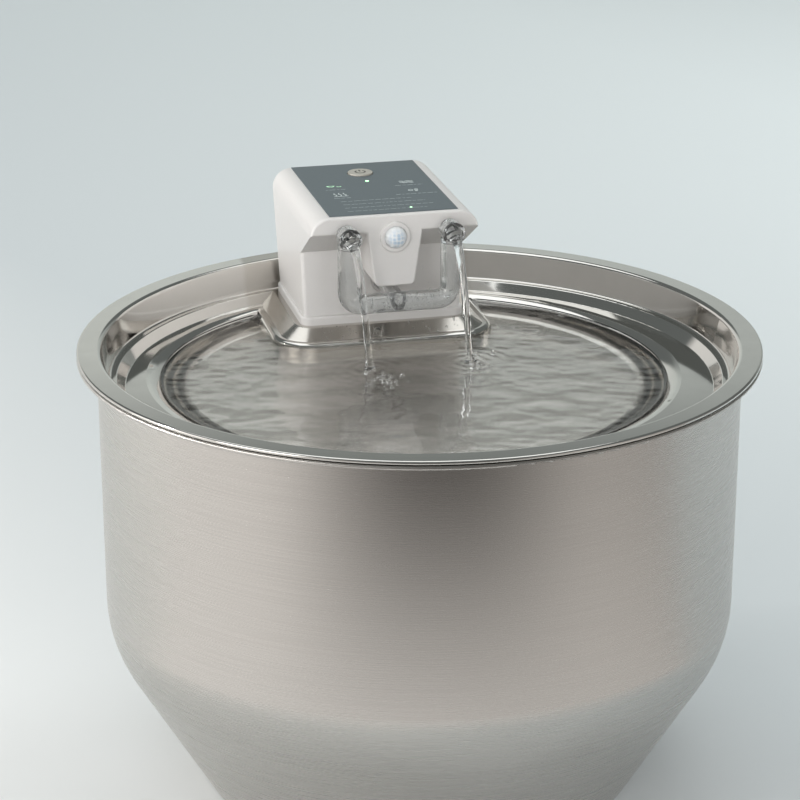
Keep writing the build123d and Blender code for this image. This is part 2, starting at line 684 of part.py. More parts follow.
def port_flap():
    """Rubber flap over the charging socket; it folds down about its lower edge."""
    x, y, z = flap_hinge()
    flap = Pos(0, 0, FLAP_H / 2) * Box(FLAP_W, FLAP_T, FLAP_H)
    flap = fillet(flap.edges().filter_by(Axis.Y), FLAP_CORNER)
    roll = Rot(0, 90, 0) * Cylinder(FLAP_T / 2, FLAP_W - 2 * FLAP_CORNER)
    pull = Pos(0, FLAP_T / 2 + 0.4, FLAP_H - 1.2) * Box(5, 1.0, 1.2)
    lean = -Vector(0, 0, 1).get_angle(Vector(0, BACK_SLOPE, 1))
    return Pos(0, y + 0.15, z) * Rot(lean, 0, 0) * (flap + roll + pull)


# --- water way ---------------------------------------------------------------------------------
def outlet_fitting():
    """Elbow from the riser hose to the socket in the recess wall."""
    fitting = rod((0, NOZZLE_Y, SKIRT_TOP + 1), (0, NOZZLE_Y, PIPE_Z), HOSE_R)
    fitting = fitting + Pos(0, NOZZLE_Y, PIPE_Z) * Sphere(HOSE_R)
    fitting = fitting + rod((0, NOZZLE_Y, PIPE_Z), (0, RECESS_Y + WALL, PIPE_Z), SOCKET_R)
    fitting = fitting + rod((0, RECESS_Y + WALL + 1.5, PIPE_Z), (0, RECESS_Y + WALL, PIPE_Z), SOCKET_R + 2)
    fitting = fitting + rod((0, RECESS_Y + WALL, PIPE_Z), (0, RECESS_Y - 0.6, PIPE_Z), SOCKET_R)
    barb = rod((0, NOZZLE_Y, SKIRT_TOP - 6), (0, NOZZLE_Y, SKIRT_TOP + 1), NOZZLE_R)
    fitting = fitting + barb
    fitting = fitting - rod((0, NOZZLE_Y, SKIRT_TOP - 7), (0, NOZZLE_Y, PIPE_Z), NOZZLE_BORE_R)
    fitting = fitting - rod((0, NOZZLE_Y, PIPE_Z), (0, RECESS_Y, PIPE_Z), NOZZLE_BORE_R)
    return fitting - rod(
        (0, RECESS_Y - 2, PIPE_Z), (0, RECESS_Y + STUB_IN + 0.4, PIPE_Z), STUB_R + SOCKET_GAP
    )


def outlet_seal():
    """O-ring at the bottom of the outlet socket."""
    return Pos(0, RECESS_Y + STUB_IN - 0.6, PIPE_Z) * Rot(90, 0, 0) * Torus(3.1, 0.45)


def outlet_hose():
    """Silicone riser from the pump's nozzle to the elbow."""
    low = PUMP_TOP + 1.0
    top = SKIRT_TOP + 0.7
    hose = rod((0, NOZZLE_Y, low), (0, NOZZLE_Y, top), HOSE_R)
    return hose - rod((0, NOZZLE_Y, low - 1), (0, NOZZLE_Y, top + 1), NOZZLE_R + 0.02)


def manifold_path():
    """Centre line of the U: down one tube, across, up the other."""
    top = SPOUT_Z - NECK_H
    return FilletPolyline(
        (-TUBE_X, TUBE_Y, top),
        (-TUBE_X, TUBE_Y, PIPE_Z),
        (TUBE_X, TUBE_Y, PIPE_Z),
        (TUBE_X, TUBE_Y, top),
        radius=PIPE_BEND,
    )


def manifold():
    """Clear U-shaped water divider with a stub that plugs into the module."""
    path = manifold_path()
    start = Plane(origin=path @ 0, z_dir=path % 0)
    outer = sweep(start * Circle(TUBE_R), path=path)
    inner = sweep(start * Circle(TUBE_BORE_R), path=path)
    stub_end = RECESS_Y + STUB_IN - 1.6
    outer = outer + rod((0, TUBE_Y, PIPE_Z), (0, stub_end, PIPE_Z), STUB_R)
    collar = rod((0, RECESS_Y - 3.2, PIPE_Z), (0, RECESS_Y - 1.4, PIPE_Z), STUB_R + 0.7)
    body = outer + collar - inner
    return body - rod((0, TUBE_Y, PIPE_Z), (0, stub_end + 1, PIPE_Z), NOZZLE_BORE_R)


def spout(side):
    """Short clear nozzle on a tube's top, pointing forwards."""
    x = side * TUBE_X
    front = TUBE_Y - SPOUT_REACH
    body = rod((x, TUBE_Y, SPOUT_Z), (x, front, SPOUT_Z), SPOUT_R)
    body = body + Pos(x, TUBE_Y, SPOUT_Z) * Sphere(SPOUT_R)
    neck = rod((x, TUBE_Y, SPOUT_Z - NECK_H), (x, TUBE_Y, SPOUT_Z), TUBE_R)
    mouth = rod((x, TUBE_Y, SPOUT_Z), (x, front - 1, SPOUT_Z), SPOUT_BORE_R)
    feed = rod((x, TUBE_Y, SPOUT_Z - NECK_H - 1), (x, TUBE_Y, SPOUT_Z), TUBE_BORE_R)
    return body + neck - mouth - feed


# --- pump column -------------------------------------------------------------------------------
def pump_column():
    """Square tube under the module: pump chamber above, filter chamber below."""
    outer = rounded_block(-COL_HALF, COL_HALF, COL_FRONT, COL_BACK, COL_BOTTOM, COL_TOP, COL_CORNER)
    upper = rounded_block(
        -COL_HALF + WALL,
        COL_HALF - WALL,
        COL_FRONT + WALL,
        COL_BACK - WALL,
        DIVIDER_Z,
        COL_TOP + 1,
        COL_CORNER - WALL,
    )
    lower = rounded_block(
        -COL_HALF + WALL,
        COL_HALF - WALL,
        COL_FRONT + WALL,
        COL_BACK - WALL,
        COL_BOTTOM + WALL,
        DIVIDER_Z - DIVIDER_T,
        COL_CORNER - WALL,
    )
    window = block(
        -DRAWER_HALF - FIT,
        DRAWER_HALF + FIT,
        COL_FRONT - 1,
        COL_FRONT + WALL + 1,
        COL_BOTTOM + WINDOW_INSET,
        DIVIDER_Z - DIVIDER_T - 1,
    )
    column = outer - upper - lower - window
    return column - rod((0, COL_Y, DIVIDER_Z - 3), (0, COL_Y, DIVIDER_Z + 1), EYE_R + 1)


def pump_body():
    """Sealed motor housing with rotor bore, impeller chamber and outlet nozzle."""
    body = rod((0, COL_Y, PUMP_Z), (0, COL_Y, PUMP_TOP), PUMP_R)
    body = fillet(body.faces().sort_by(Axis.Z)[-1].edges(), PUMP_EDGE)
    chamber = rod((0, COL_Y, PUMP_Z - 1), (0, COL_Y, PUMP_Z + CHAMBER_H), CHAMBER_R)
    bore = rod((0, COL_Y, PUMP_Z), (0, COL_Y, PUMP_Z + CHAMBER_H + ROTOR_H + 2), ROTOR_R + ROTOR_GAP)
    body = body - chamber - bore - stator_ring(0.1)
    shaft_z = PUMP_Z + CHAMBER_H + ROTOR_H + 4.5
    body = body - rod((0, COL_Y, PUMP_Z), (0, COL_Y, shaft_z), SHAFT_R + 0.02)
    nozzle = rod((0, NOZZLE_Y, PUMP_TOP - 3), (0, NOZZLE_Y, PUMP_TOP + 8), NOZZLE_R)
    channel = rod((0, NOZZLE_Y, PUMP_Z + CHAMBER_H - 4), (0, NOZZLE_Y, PUMP_TOP + 9), NOZZLE_BORE_R)
    return body + nozzle - channel


def stator_ring(extra):
    """Potted coil and core round the rotor, open at the front where the outlet channel passes."""
    z0 = PUMP_Z + CHAMBER_H + 2 - extra
    z1 = PUMP_Z + CHAMBER_H + ROTOR_H + extra
    ring = rod((0, COL_Y, z0), (0, COL_Y, z1), PUMP_R - 1.6 + extra)
    ring = ring - rod((0, COL_Y, z0 - 1), (0, COL_Y, z1 + 1), ROTOR_R + ROTOR_GAP + 1.2 - extra)
    gap = NOZZLE_BORE_R + 1.4 - extra
    return ring - block(-gap, gap, COL_Y - PUMP_R - 1, COL_Y, z0 - 1, z1 + 1)


def impeller():
    """Magnet rotor with six vanes on a disc, turning on the shaft."""
    disc_z = PUMP_Z + CHAMBER_H - 1.6
    rotor = rod((0, COL_Y, disc_z), (0, COL_Y, disc_z + ROTOR_H), ROTOR_R)
    disc = rod((0, COL_Y, disc_z - 0.4), (0, COL_Y, disc_z + 0.8), VANE_R)
    hub = rod((0, COL_Y, disc_z - VANE_H), (0, COL_Y, disc_z), 2.6)
    wheel = rotor + disc + hub
    vane = block(2.0, VANE_R - 0.3, -VANE_T / 2, VANE_T / 2, disc_z - VANE_H, disc_z)
    for index in range(VANE_COUNT):
        wheel = wheel + Pos(0, COL_Y, 0) * Rot(0, 0, 360 / VANE_COUNT * index) * vane
    return wheel - rod((0, COL_Y, disc_z - 9), (0, COL_Y, disc_z + 20), SHAFT_R + SHAFT_FIT)


def impeller_shaft():
    """Ceramic pin from the cover's spider to the blind end of the rotor bore."""
    return rod((0, COL_Y, DIVIDER_Z + 0.6), (0, COL_Y, PUMP_Z + CHAMBER_H + ROTOR_H + 4.4), SHAFT_R)


def pump_cover():
    """Cover of the impeller chamber with the inlet eye and a three-arm spider for the shaft."""
    cover = rod((0, COL_Y, DIVIDER_Z), (0, COL_Y, PUMP_Z), PUMP_R)
    cover = cover - rod((0, COL_Y, DIVIDER_Z - 1), (0, COL_Y, PUMP_Z + 1), EYE_R)
    arm = block(0, EYE_R + 0.5, -0.8, 0.8, DIVIDER_Z, PUMP_Z - 1)
    for index in range(3):
        cover = cover + Pos(0, COL_Y, 0) * Rot(0, 0, 120 * index) * arm
    cover = cover + rod((0, COL_Y, DIVIDER_Z), (0, COL_Y, PUMP_Z - 1), 2.2)
    return cover - rod((0, COL_Y, DIVIDER_Z + 0.5), (0, COL_Y, PUMP_Z), SHAFT_R + 0.02)


# --- filter ------------------------------------------------------------------------------------
def drawer_levels():
    """Lower and upper limit of the drawer's front."""
    low = COL_BOTTOM + WINDOW_INSET + FIT
    return low, DIVIDER_Z - DIVIDER_T - 1 - FIT


def filter_drawer():
    """Pull-out frame with a slotted front that carries the sponge and the cartridge."""
    low, high = drawer_levels()
    front = block(-DRAWER_HALF, DRAWER_HALF, COL_FRONT, COL_FRONT + DRAWER_T, low, high)
    start = -(GRILLE_COUNT - 1) / 2 * GRILLE_PITCH
    for index in range(GRILLE_COUNT):
        x = start + GRILLE_PITCH * index
        slot = block(x - GRILLE_SLOT_W / 2, x + GRILLE_SLOT_W / 2, COL_FRONT - 1, COL_FRONT + 3, low + 5, high - 9)
        front = front - slot
    pull = block(-8, 8, COL_FRONT - PULL_OUT, COL_FRONT, high - 6, high - 4.4)
    back = COL_FRONT + DRAWER_DEPTH
    floor = block(-DRAWER_HALF, DRAWER_HALF, COL_FRONT, back, low, low + DRAWER_T)
    sides = block(-DRAWER_HALF, -DRAWER_HALF + DRAWER_T, COL_FRONT, back, low, high - 2)
    sides = sides + block(DRAWER_HALF - DRAWER_T, DRAWER_HALF, COL_FRONT, back, low, high - 2)
    return front + pull + floor + sides


def filter_pad(y0, thickness):
    """Rectangular pad that fills the drawer's width."""
    low, high = drawer_levels()
    half = DRAWER_HALF - DRAWER_T - FIT
    return block(-half, half, y0, y0 + thickness, low + DRAWER_T, high - 3)


def filter_sponge():
    """Coarse foam pad behind the slots."""
    return filter_pad(COL_FRONT + DRAWER_T + FIT, SPONGE_T)


def filter_cartridge():
    """Framed pouch of carbon and resin behind the sponge."""
    y0 = COL_FRONT + DRAWER_T + SPONGE_T + 2 * FIT
    low, high = drawer_levels()
    half = DRAWER_HALF - DRAWER_T - FIT
    pad = filter_pad(y0, CARTRIDGE_T)
    recess = block(-half + 3, half - 3, y0 - 1, y0 + 1.2, low + DRAWER_T + 3, high - 6)
    far = Pos(0, CARTRIDGE_T - 0.2, 0) * recess
    return pad - recess - far


NODES = {
    "reservoir_bowl": reservoir_bowl,
    "drinking_tray": drinking_tray,
    "main_shell": main_shell,
    "base_plate": base_plate,
    "housing_seal": lambda: seal_ring(0.0, SEAL_T),
    "housing_screws": housing_screws,
    "control_panel": control_panel,
    "power_button": power_button,
    "tact_switch": tact_switch,
    "status_lights": status_lights,
    "main_board": main_board,
    "sensor_ring": sensor_ring,
    "sensor_lens": sensor_lens,
    "motion_sensor": motion_sensor,
    "sensor_board": sensor_board,
    "battery_cells": battery_cells,
    "battery_tray": battery_tray,
    "charging_port": charging_port,
    "port_flap": port_flap,
    "outlet_fitting": outlet_fitting,
    "outlet_seal": outlet_seal,
    "outlet_hose": outlet_hose,
    "manifold": manifold,
    "spout_left": lambda: spout(-1),
    "spout_right": lambda: spout(1),
    "pump_column": pump_column,
    "pump_body": pump_body,
    "pump_stator": lambda: stator_ring(0.0),
    "impeller": impeller,
    "impeller_shaft": impeller_shaft,
    "pump_cover": pump_cover,
    "filter_drawer": filter_drawer,
    "filter_sponge": filter_sponge,
    "filter_cartridge": filter_cartridge,
}

os.makedirs("parts", exist_ok=True)
for name, make in NODES.items():
    export_step(make(), f"parts/{name}.step")
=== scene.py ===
"""Looks of a cordless pet water fountain: steel bowl and tray, white pump module, clear spouts, water.

Metres, +Z up, the bowl's axis on Z, the module at +Y. Every piece keeps its place in its mesh.
"""

import logging
import math
from dataclasses import dataclass, field
from enum import Enum

import bpy
import numpy as np
from mathutils import Matrix, Vector
from mathutils.bvhtree import BVHTree


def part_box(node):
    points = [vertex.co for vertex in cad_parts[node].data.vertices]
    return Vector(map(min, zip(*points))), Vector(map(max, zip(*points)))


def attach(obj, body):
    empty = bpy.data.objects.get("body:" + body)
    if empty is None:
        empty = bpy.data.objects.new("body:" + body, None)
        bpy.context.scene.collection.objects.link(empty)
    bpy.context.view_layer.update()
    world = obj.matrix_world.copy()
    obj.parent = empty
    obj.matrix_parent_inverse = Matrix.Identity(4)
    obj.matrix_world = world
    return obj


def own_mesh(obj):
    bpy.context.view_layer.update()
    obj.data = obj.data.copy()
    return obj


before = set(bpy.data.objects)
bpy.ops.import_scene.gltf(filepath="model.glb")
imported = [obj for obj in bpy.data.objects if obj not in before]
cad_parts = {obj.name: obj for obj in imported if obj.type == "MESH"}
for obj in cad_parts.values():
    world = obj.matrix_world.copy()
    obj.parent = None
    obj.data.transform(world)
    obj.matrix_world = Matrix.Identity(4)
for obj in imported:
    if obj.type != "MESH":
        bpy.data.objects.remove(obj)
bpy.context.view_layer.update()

MM = 0.001
IMAGE_PX = 800
RAYS = ("camera", "diffuse", "glossy", "transmission", "shadow")
Skin = tuple[np.ndarray, list]      # points in metres, shape (n, 3), and faces as lists of point indices
log = logging.getLogger("fountain")


# --- small helpers -----------------------------------------------------------------------------
def linear(hex_colour: str) -> tuple[float, float, float, float]:
    """Turn an sRGB hex colour into linear values.

    Args:
        hex_colour: Colour such as "#B9B4AE".

    Returns:
        Linear red, green and blue, and an alpha of 1.
    """
    srgb = np.array([int(hex_colour[i : i + 2], 16) / 255 for i in (1, 3, 5)])
    low, high = srgb / 12.92, ((srgb + 0.055) / 1.055) ** 2.4
    red, green, blue = np.where(srgb <= 0.04045, low, high)
    return float(red), float(green), float(blue), 1.0


def add(tree: bpy.types.NodeTree, kind: str, settings: dict | None = None, **links) -> bpy.types.Node:
    """Add a node with its settings and links.

    Args:
        tree: Node tree that gets the node.
        kind: Node type, such as "ShaderNodeMix".
        settings: Attribute or input values; a key that names no attribute is an input's name or index.
        links: Input name (spaces as underscores, or i0, i1 for an index) to the output that feeds it.

    Returns:
        The new node.
    """
    node = tree.nodes.new(kind)
    for key, value in (settings or {}).items():
        if isinstance(key, str) and hasattr(node, key):
            setattr(node, key, value)
        else:
            node.inputs[key].default_value = value
    for key, output in links.items():
        place = int(key[1:]) if key[0] == "i" and key[1:].isdigit() else key.replace("_", " ")
        tree.links.new(output, node.inputs[place])
    return node


def turned(first: Vector, second: Vector, angle: float) -> tuple[Vector, Vector]:
    """Turn two square directions in their plane, the first towards the second, by an angle in radians."""
    cosine, sine = math.cos(angle), math.sin(angle)
    return cosine * first + sine * second, cosine * second - sine * first


def start_material(name: str) -> tuple[bpy.types.Material, bpy.types.NodeTree, bpy.types.Node]:
    """Start a material.

    Args:
        name: Material's name.

    Returns:
        The material, its node tree and its main shader.
    """
    material = bpy.data.materials.new(name)
    material.use_nodes = True
    return material, material.node_tree, material.node_tree.nodes["Principled BSDF"]


def net(rows: int, columns: int, closed: bool = False) -> list:
    """Make the faces between the points of a grid.

    Args:
        rows: Points along the first parameter.
        columns: Points along the second.
        closed: Join the last column to the first.

    Returns:
        Four point indices for each face.
    """
    index = np.arange(rows * columns).reshape(rows, columns)
    if closed:
        index = np.hstack([index, index[:, :1]])
    corners = [index[:-1, :-1], index[:-1, 1:], index[1:, 1:], index[1:, :-1]]
    return np.stack(corners, axis=-1).reshape(-1, 4).tolist()


def rings(grid: np.ndarray, ends: np.ndarray) -> Skin:
    """Close a row of rings into a solid, with a fan from each end ring to its middle.

    Args:
        grid: Points of the rings, shape (rings, sides, 3).
        ends: Middles of the first and the last ring, shape (2, 3).

    Returns:
        Points and faces.
    """
    count, sides, _ = grid.shape
    first = np.arange(sides)
    last, middle = first + (count - 1) * sides, np.full(sides, count * sides)
    faces = net(count, sides, closed=True)
    faces += np.stack([np.roll(first, -1), first, middle], axis=1).tolist()
    faces += np.stack([last, np.roll(last, -1), middle + 1], axis=1).tolist()
    return np.vstack([grid.reshape(-1, 3), ends]), faces


def mesh_object(name: str, points: np.ndarray, faces: list, smooth: bool = True) -> bpy.types.Object:
    """Put points and faces into a new object at the origin.

    Args:
        name: Name of the piece.
        points: Points in metres, shape (n, 3).
        faces: Lists of point indices.
        smooth: Shade the faces smooth.

    Returns:
        The new object.
    """
    mesh = bpy.data.meshes.new(name)
    mesh.from_pydata(points.tolist(), [], faces)
    mesh.polygons.foreach_set("use_smooth", np.full(len(mesh.polygons), smooth))
    mesh.update()
    piece = bpy.data.objects.new(name, mesh)
    bpy.context.collection.objects.link(piece)
    return piece


def joined(name: str, parts: list[Skin], smooth: bool = True) -> bpy.types.Object:
    """Make one object of several skins.

    Args:
        name: Name of the piece.
        parts: Points and faces of each skin.
        smooth: Shade the faces smooth.

    Returns:
        The new object.
    """
    points, faces, start = [], [], 0
    for some_points, some_faces in parts:
        points.append(some_points)
        faces += [[corner + start for corner in face] for face in some_faces]
        start += len(some_points)
    return mesh_object(name, np.vstack(points), faces, smooth)


def tube_along(path: np.ndarray, radii: np.ndarray, sides: int, side: tuple = (1.0, 0.0, 0.0),
               lobes: int = 0, depth: float = 0.0, twist: float = 0.0) -> Skin:
    """Carry a round or lobed section along a path.

    A point is path(t) + r(t) (1 + depth cos(lobes (a + twist t))) (cos a n(t) + sin a b(t)), with n and b
    square to the path.

    Args:
        path: Centre line, shape (n, 3).
        radii: Radius at each point of the path.
        sides: Points round the section.
        side: Direction that the path never follows.
        lobes: Number of strands round the section.
        depth: Height of the strands as a share of the radius.
        twist: Turn of the strands over the whole path, in radians.

    Returns:
        Points and faces of the closed tube.
    """
    tangent = np.gradient(path, axis=0)
    tangent /= np.linalg.norm(tangent, axis=1, keepdims=True)
    normal = np.array(side) - tangent * (tangent @ np.array(side))[:, None]
    normal /= np.linalg.norm(normal, axis=1, keepdims=True)
    binormal = np.cross(tangent, normal)
    angle = np.linspace(0, 2 * np.pi, sides, endpoint=False)[None, :]
    turn = np.linspace(0, 1, len(path))[:, None] * twist
    reach = (radii[:, None] * (1 + depth * np.cos(lobes * (angle + turn))))[..., None]
    ring = np.cos(angle)[..., None] * normal[:, None] + np.sin(angle)[..., None] * binormal[:, None]
    return rings(path[:, None] + reach * ring, path[[0, -1]])


def ribbon(line: np.ndarray, width: float, height: float) -> Skin:
    """Make a flat closed stroke: line(t) +- width / 2 to its left and right, raised by height.

    Args:
        line: Points in metres, shape (n, 3), at one level.
        width: Width of the stroke.
        height: Thickness of the stroke.

    Returns:
        Points and faces.
    """
    tangent = np.gradient(line, axis=0)
    tangent /= np.linalg.norm(tangent, axis=1, keepdims=True)
    across = np.stack([-tangent[:, 1], tangent[:, 0], 0 * tangent[:, 0]], axis=1) * width / 2
    lift = np.array([0.0, 0.0, height])
    grid = np.stack([line - across, line + across, line + across + lift, line - across + lift], axis=1)
    end = (len(line) - 1) * 4
    faces = net(len(line), 4, closed=True) + [[3, 2, 1, 0], [end, end + 1, end + 2, end + 3]]
    return grid.reshape(-1, 3), faces


def ball(centre: tuple[float, float, float], radius: float, stretch: float, sides: int) -> Skin:
    """Make a sphere stretched along Z: centre + r (sin p cos a, sin p sin a, -stretch cos p).

    Args:
        centre: Middle in metres.
        radius: Radius.
        stretch: Height as a share of the width.
        sides: Points round it.

    Returns:
        Points and faces.
    """
    polar = np.linspace(0, np.pi, sides // 2 + 1)
    angle = np.linspace(0, 2 * np.pi, sides, endpoint=False)
    axis = np.array(centre) - radius * stretch * np.cos(polar)[:, None] * [0.0, 0.0, 1.0]
    ring = np.stack([np.cos(angle), np.sin(angle), 0 * angle], axis=1)
    grid = axis[:, None] + radius * np.sin(polar)[:, None, None] * ring
    return rings(grid[1:-1], axis[[0, -1]])


# --- finishes ----------------------------------------------------------------------------------
class Grain(Enum):
    """How a surface was worked, as the size of its pattern in millimetres along x, y and z."""

    ROUND_BRUSHED = (71.43, 71.43, 0.3846)      # long level lines; real ones are 0.05, drawn coarser to show
    ROLLED = (16.67, 16.67, 16.67)              # the sheet's faint waviness
    MOULDED = (1.111, 1.111, 1.111)             # fine spark texture, drawn coarser to show


@dataclass(frozen=True)
class Finish:
    """A plain finish: one shader whose colour and roughness vary a little over a noise pattern.

    Attributes:
        name: Material's name, after the real material and its making.
        colour: Main colour, sRGB hex.
        other: Second colour of the pattern, sRGB hex.
        rough: Lowest and highest roughness.
        bump: Height of the pattern in millimetres.
        fixed: Values set straight on the shader's sockets.
        grain: Size of the pattern.
    """

    name: str
    colour: str
    other: str
    rough: tuple[float, float]
    bump: float = 0.0
    fixed: dict = field(default_factory=dict)
    grain: Grain = Grain.MOULDED

    def make(self) -> bpy.types.Material:
        """Build the material.

        Returns:
            The new material.
        """
        material, tree, shader = start_material(self.name)
        place = add(tree, "ShaderNodeTexCoord")
        scale = [1 / (size * MM) for size in self.grain.value]
        stretch = add(tree, "ShaderNodeMapping", {"Scale": scale}, Vector=place.outputs["Object"])
        noise = add(tree, "ShaderNodeTexNoise", {"Scale": 1.0, "Detail": 4.0, "Roughness": 0.6},
                    Vector=stretch.outputs[0])
        mix = add(tree, "ShaderNodeMix", {"data_type": "RGBA", 6: linear(self.colour), 7: linear(self.other)},
                  i0=noise.outputs["Fac"])
        tree.links.new(mix.outputs[2], shader.inputs["Base Color"])
        low, high = self.rough
        span = add(tree, "ShaderNodeMapRange", {"To Min": low, "To Max": high}, Value=noise.outputs["Fac"])
        tree.links.new(span.outputs[0], shader.inputs["Roughness"])
        if self.bump:
            relief = add(tree, "ShaderNodeBump", {"Strength": 0.6, "Distance": self.bump * MM},
                         Height=noise.outputs["Fac"])
            tree.links.new(relief.outputs[0], shader.inputs["Normal"])
        for socket, value in self.fixed.items():
            shader.inputs[socket].default_value = value
        if "Anisotropic" in self.fixed:
            tangent = add(tree, "ShaderNodeTangent", {"direction_type": "RADIAL", "axis": "Z"})
            tree.links.new(tangent.outputs[0], shader.inputs["Tangent"])
        self.refine(tree, shader, place.outputs["Object"])
        return material

    def refine(self, tree: bpy.types.NodeTree, shader: bpy.types.Node, place: bpy.types.NodeSocket) -> None:
        """Add nothing: a plain finish is done."""


# Stainless steel, brushed round the bowl: fine level lines that draw each lamp out into an upright band.
BRUSHED_STEEL = Finish("stainless_steel_brushed", "#CECBC7", "#C2BFBB", (0.23, 0.32), 0.004,
                       {"Metallic": 1.0, "Anisotropic": 0.8}, Grain.ROUND_BRUSHED)
# ABS, injection moulded with a fine satin texture: soft highlight, warm white.
WHITE_ABS = Finish("abs_white_moulded", "#D9D7D5", "#D5D3D1", (0.30, 0.38), 0.004,
                   {"IOR": 1.53, "Subsurface Weight": 0.08, "Subsurface Radius": (0.002, 0.002, 0.002)})
# PET film, printed on its back: even grey with a satin face.
PANEL_FILM = Finish("pet_film_grey_printed", "#505B61", "#546065", (0.34, 0.42), 0.002, {"IOR": 1.57})
# ABS cap with a satin metallic paint: light warm grey.
BUTTON_PAINT = Finish("abs_cap_satin_paint", "#C2BEB4", "#BAB6AC", (0.30, 0.40), 0.002, {"Metallic": 0.4})
# ABS, moulded in black.
BLACK_ABS = Finish("abs_black_moulded", "#1E1F21", "#26272A", (0.40, 0.52), 0.004, {"IOR": 1.53})
# Silicone rubber, moulded: soft and slightly clear.
SILICONE = Finish("silicone_clear_moulded", "#DADAD6", "#D0D0CC", (0.45, 0.55), 0.003,
                  {"IOR": 1.41, "Subsurface Weight": 0.2, "Subsurface Radius": (0.002, 0.002, 0.002)})
# Thermoplastic rubber, moulded in white, for the socket's flap.
WHITE_RUBBER = Finish("tpe_white_moulded", "#E4E2DF", "#DCDAD7", (0.50, 0.60), 0.004, {"IOR": 1.50})
# Circuit board with green solder mask.
BOARD = Finish("fr4_board_green_mask", "#1F5A3A", "#246543", (0.30, 0.40), 0.002, {"IOR": 1.50})
# Nickel-plated steel of small hardware.
PLATED_STEEL = Finish("steel_nickel_plated", "#C3C1BC", "#B2B0AB", (0.22, 0.34), 0.0, {"Metallic": 1.0},
                      Grain.ROLLED)
# Shrink sleeve of the cells.
SHRINK_SLEEVE = Finish("pvc_sleeve_blue", "#2F5D7A", "#2A5570", (0.25, 0.35), 0.001, {"IOR": 1.54})
# Enamelled copper under potting resin.
COPPER_COIL = Finish("copper_enamelled_wound", "#9A5A34", "#7E4526", (0.30, 0.45), 0.02, {"Metallic": 0.8},
                     Grain.ROUND_BRUSHED)
# Plastic-bonded ferrite magnet.
FERRITE = Finish("ferrite_plastic_bonded", "#2B2B2D", "#353538", (0.50, 0.62), 0.004, grain=Grain.ROLLED)
# Ceramic pin, ground.
CERAMIC = Finish("alumina_ceramic_ground", "#E9E5DA", "#E1DDD2", (0.18, 0.26), 0.0, {"IOR": 1.76},
                 Grain.ROLLED)
# Open-cell foam: dark and matt, with pores.
FOAM = Finish("polyurethane_foam_open_cell", "#33373A", "#191B1D", (0.85, 1.0), 0.3)
# Non-woven pouch over carbon grains.
FILTER_CLOTH = Finish("polyester_nonwoven_pouch", "#E4E3DC", "#CFCEC6", (0.80, 0.95), 0.08)
# Light guides with a small lit chip behind them: pale green-white glow.
LIT_GUIDE = Finish("light_guide_lit", "#E6F2E4", "#DDEBDB", (0.2, 0.3), 0.0,
                   {"Emission Color": linear("#9CF5A6"), "Emission Strength": 2.6})
# Screen ink, pale green-grey, on the film; the ink of the mode that is on is lit a little from behind.
PALE_INK = Finish("screen_ink_pale", "#CBD5D4", "#C1CBCA", (0.40, 0.50), 0.0, {"IOR": 1.50})
FAINT_INK = Finish("screen_ink_faint", "#9FAAAA", "#98A3A3", (0.40, 0.50), 0.0, {"IOR": 1.50})
LIT_INK = Finish("screen_ink_backlit", "#BFE8C6", "#B4DDBB", (0.40, 0.50), 0.0,
                 {"IOR": 1.50, "Emission Color": (0.35, 0.8, 0.42, 1.0), "Emission Strength": 0.35})
# Laser-etched dark mark on the button's paint.
DARK_MARK = Finish("paint_laser_etched", "#5C5B55", "#54534D", (0.45, 0.55), 0.0, {"IOR": 1.50})


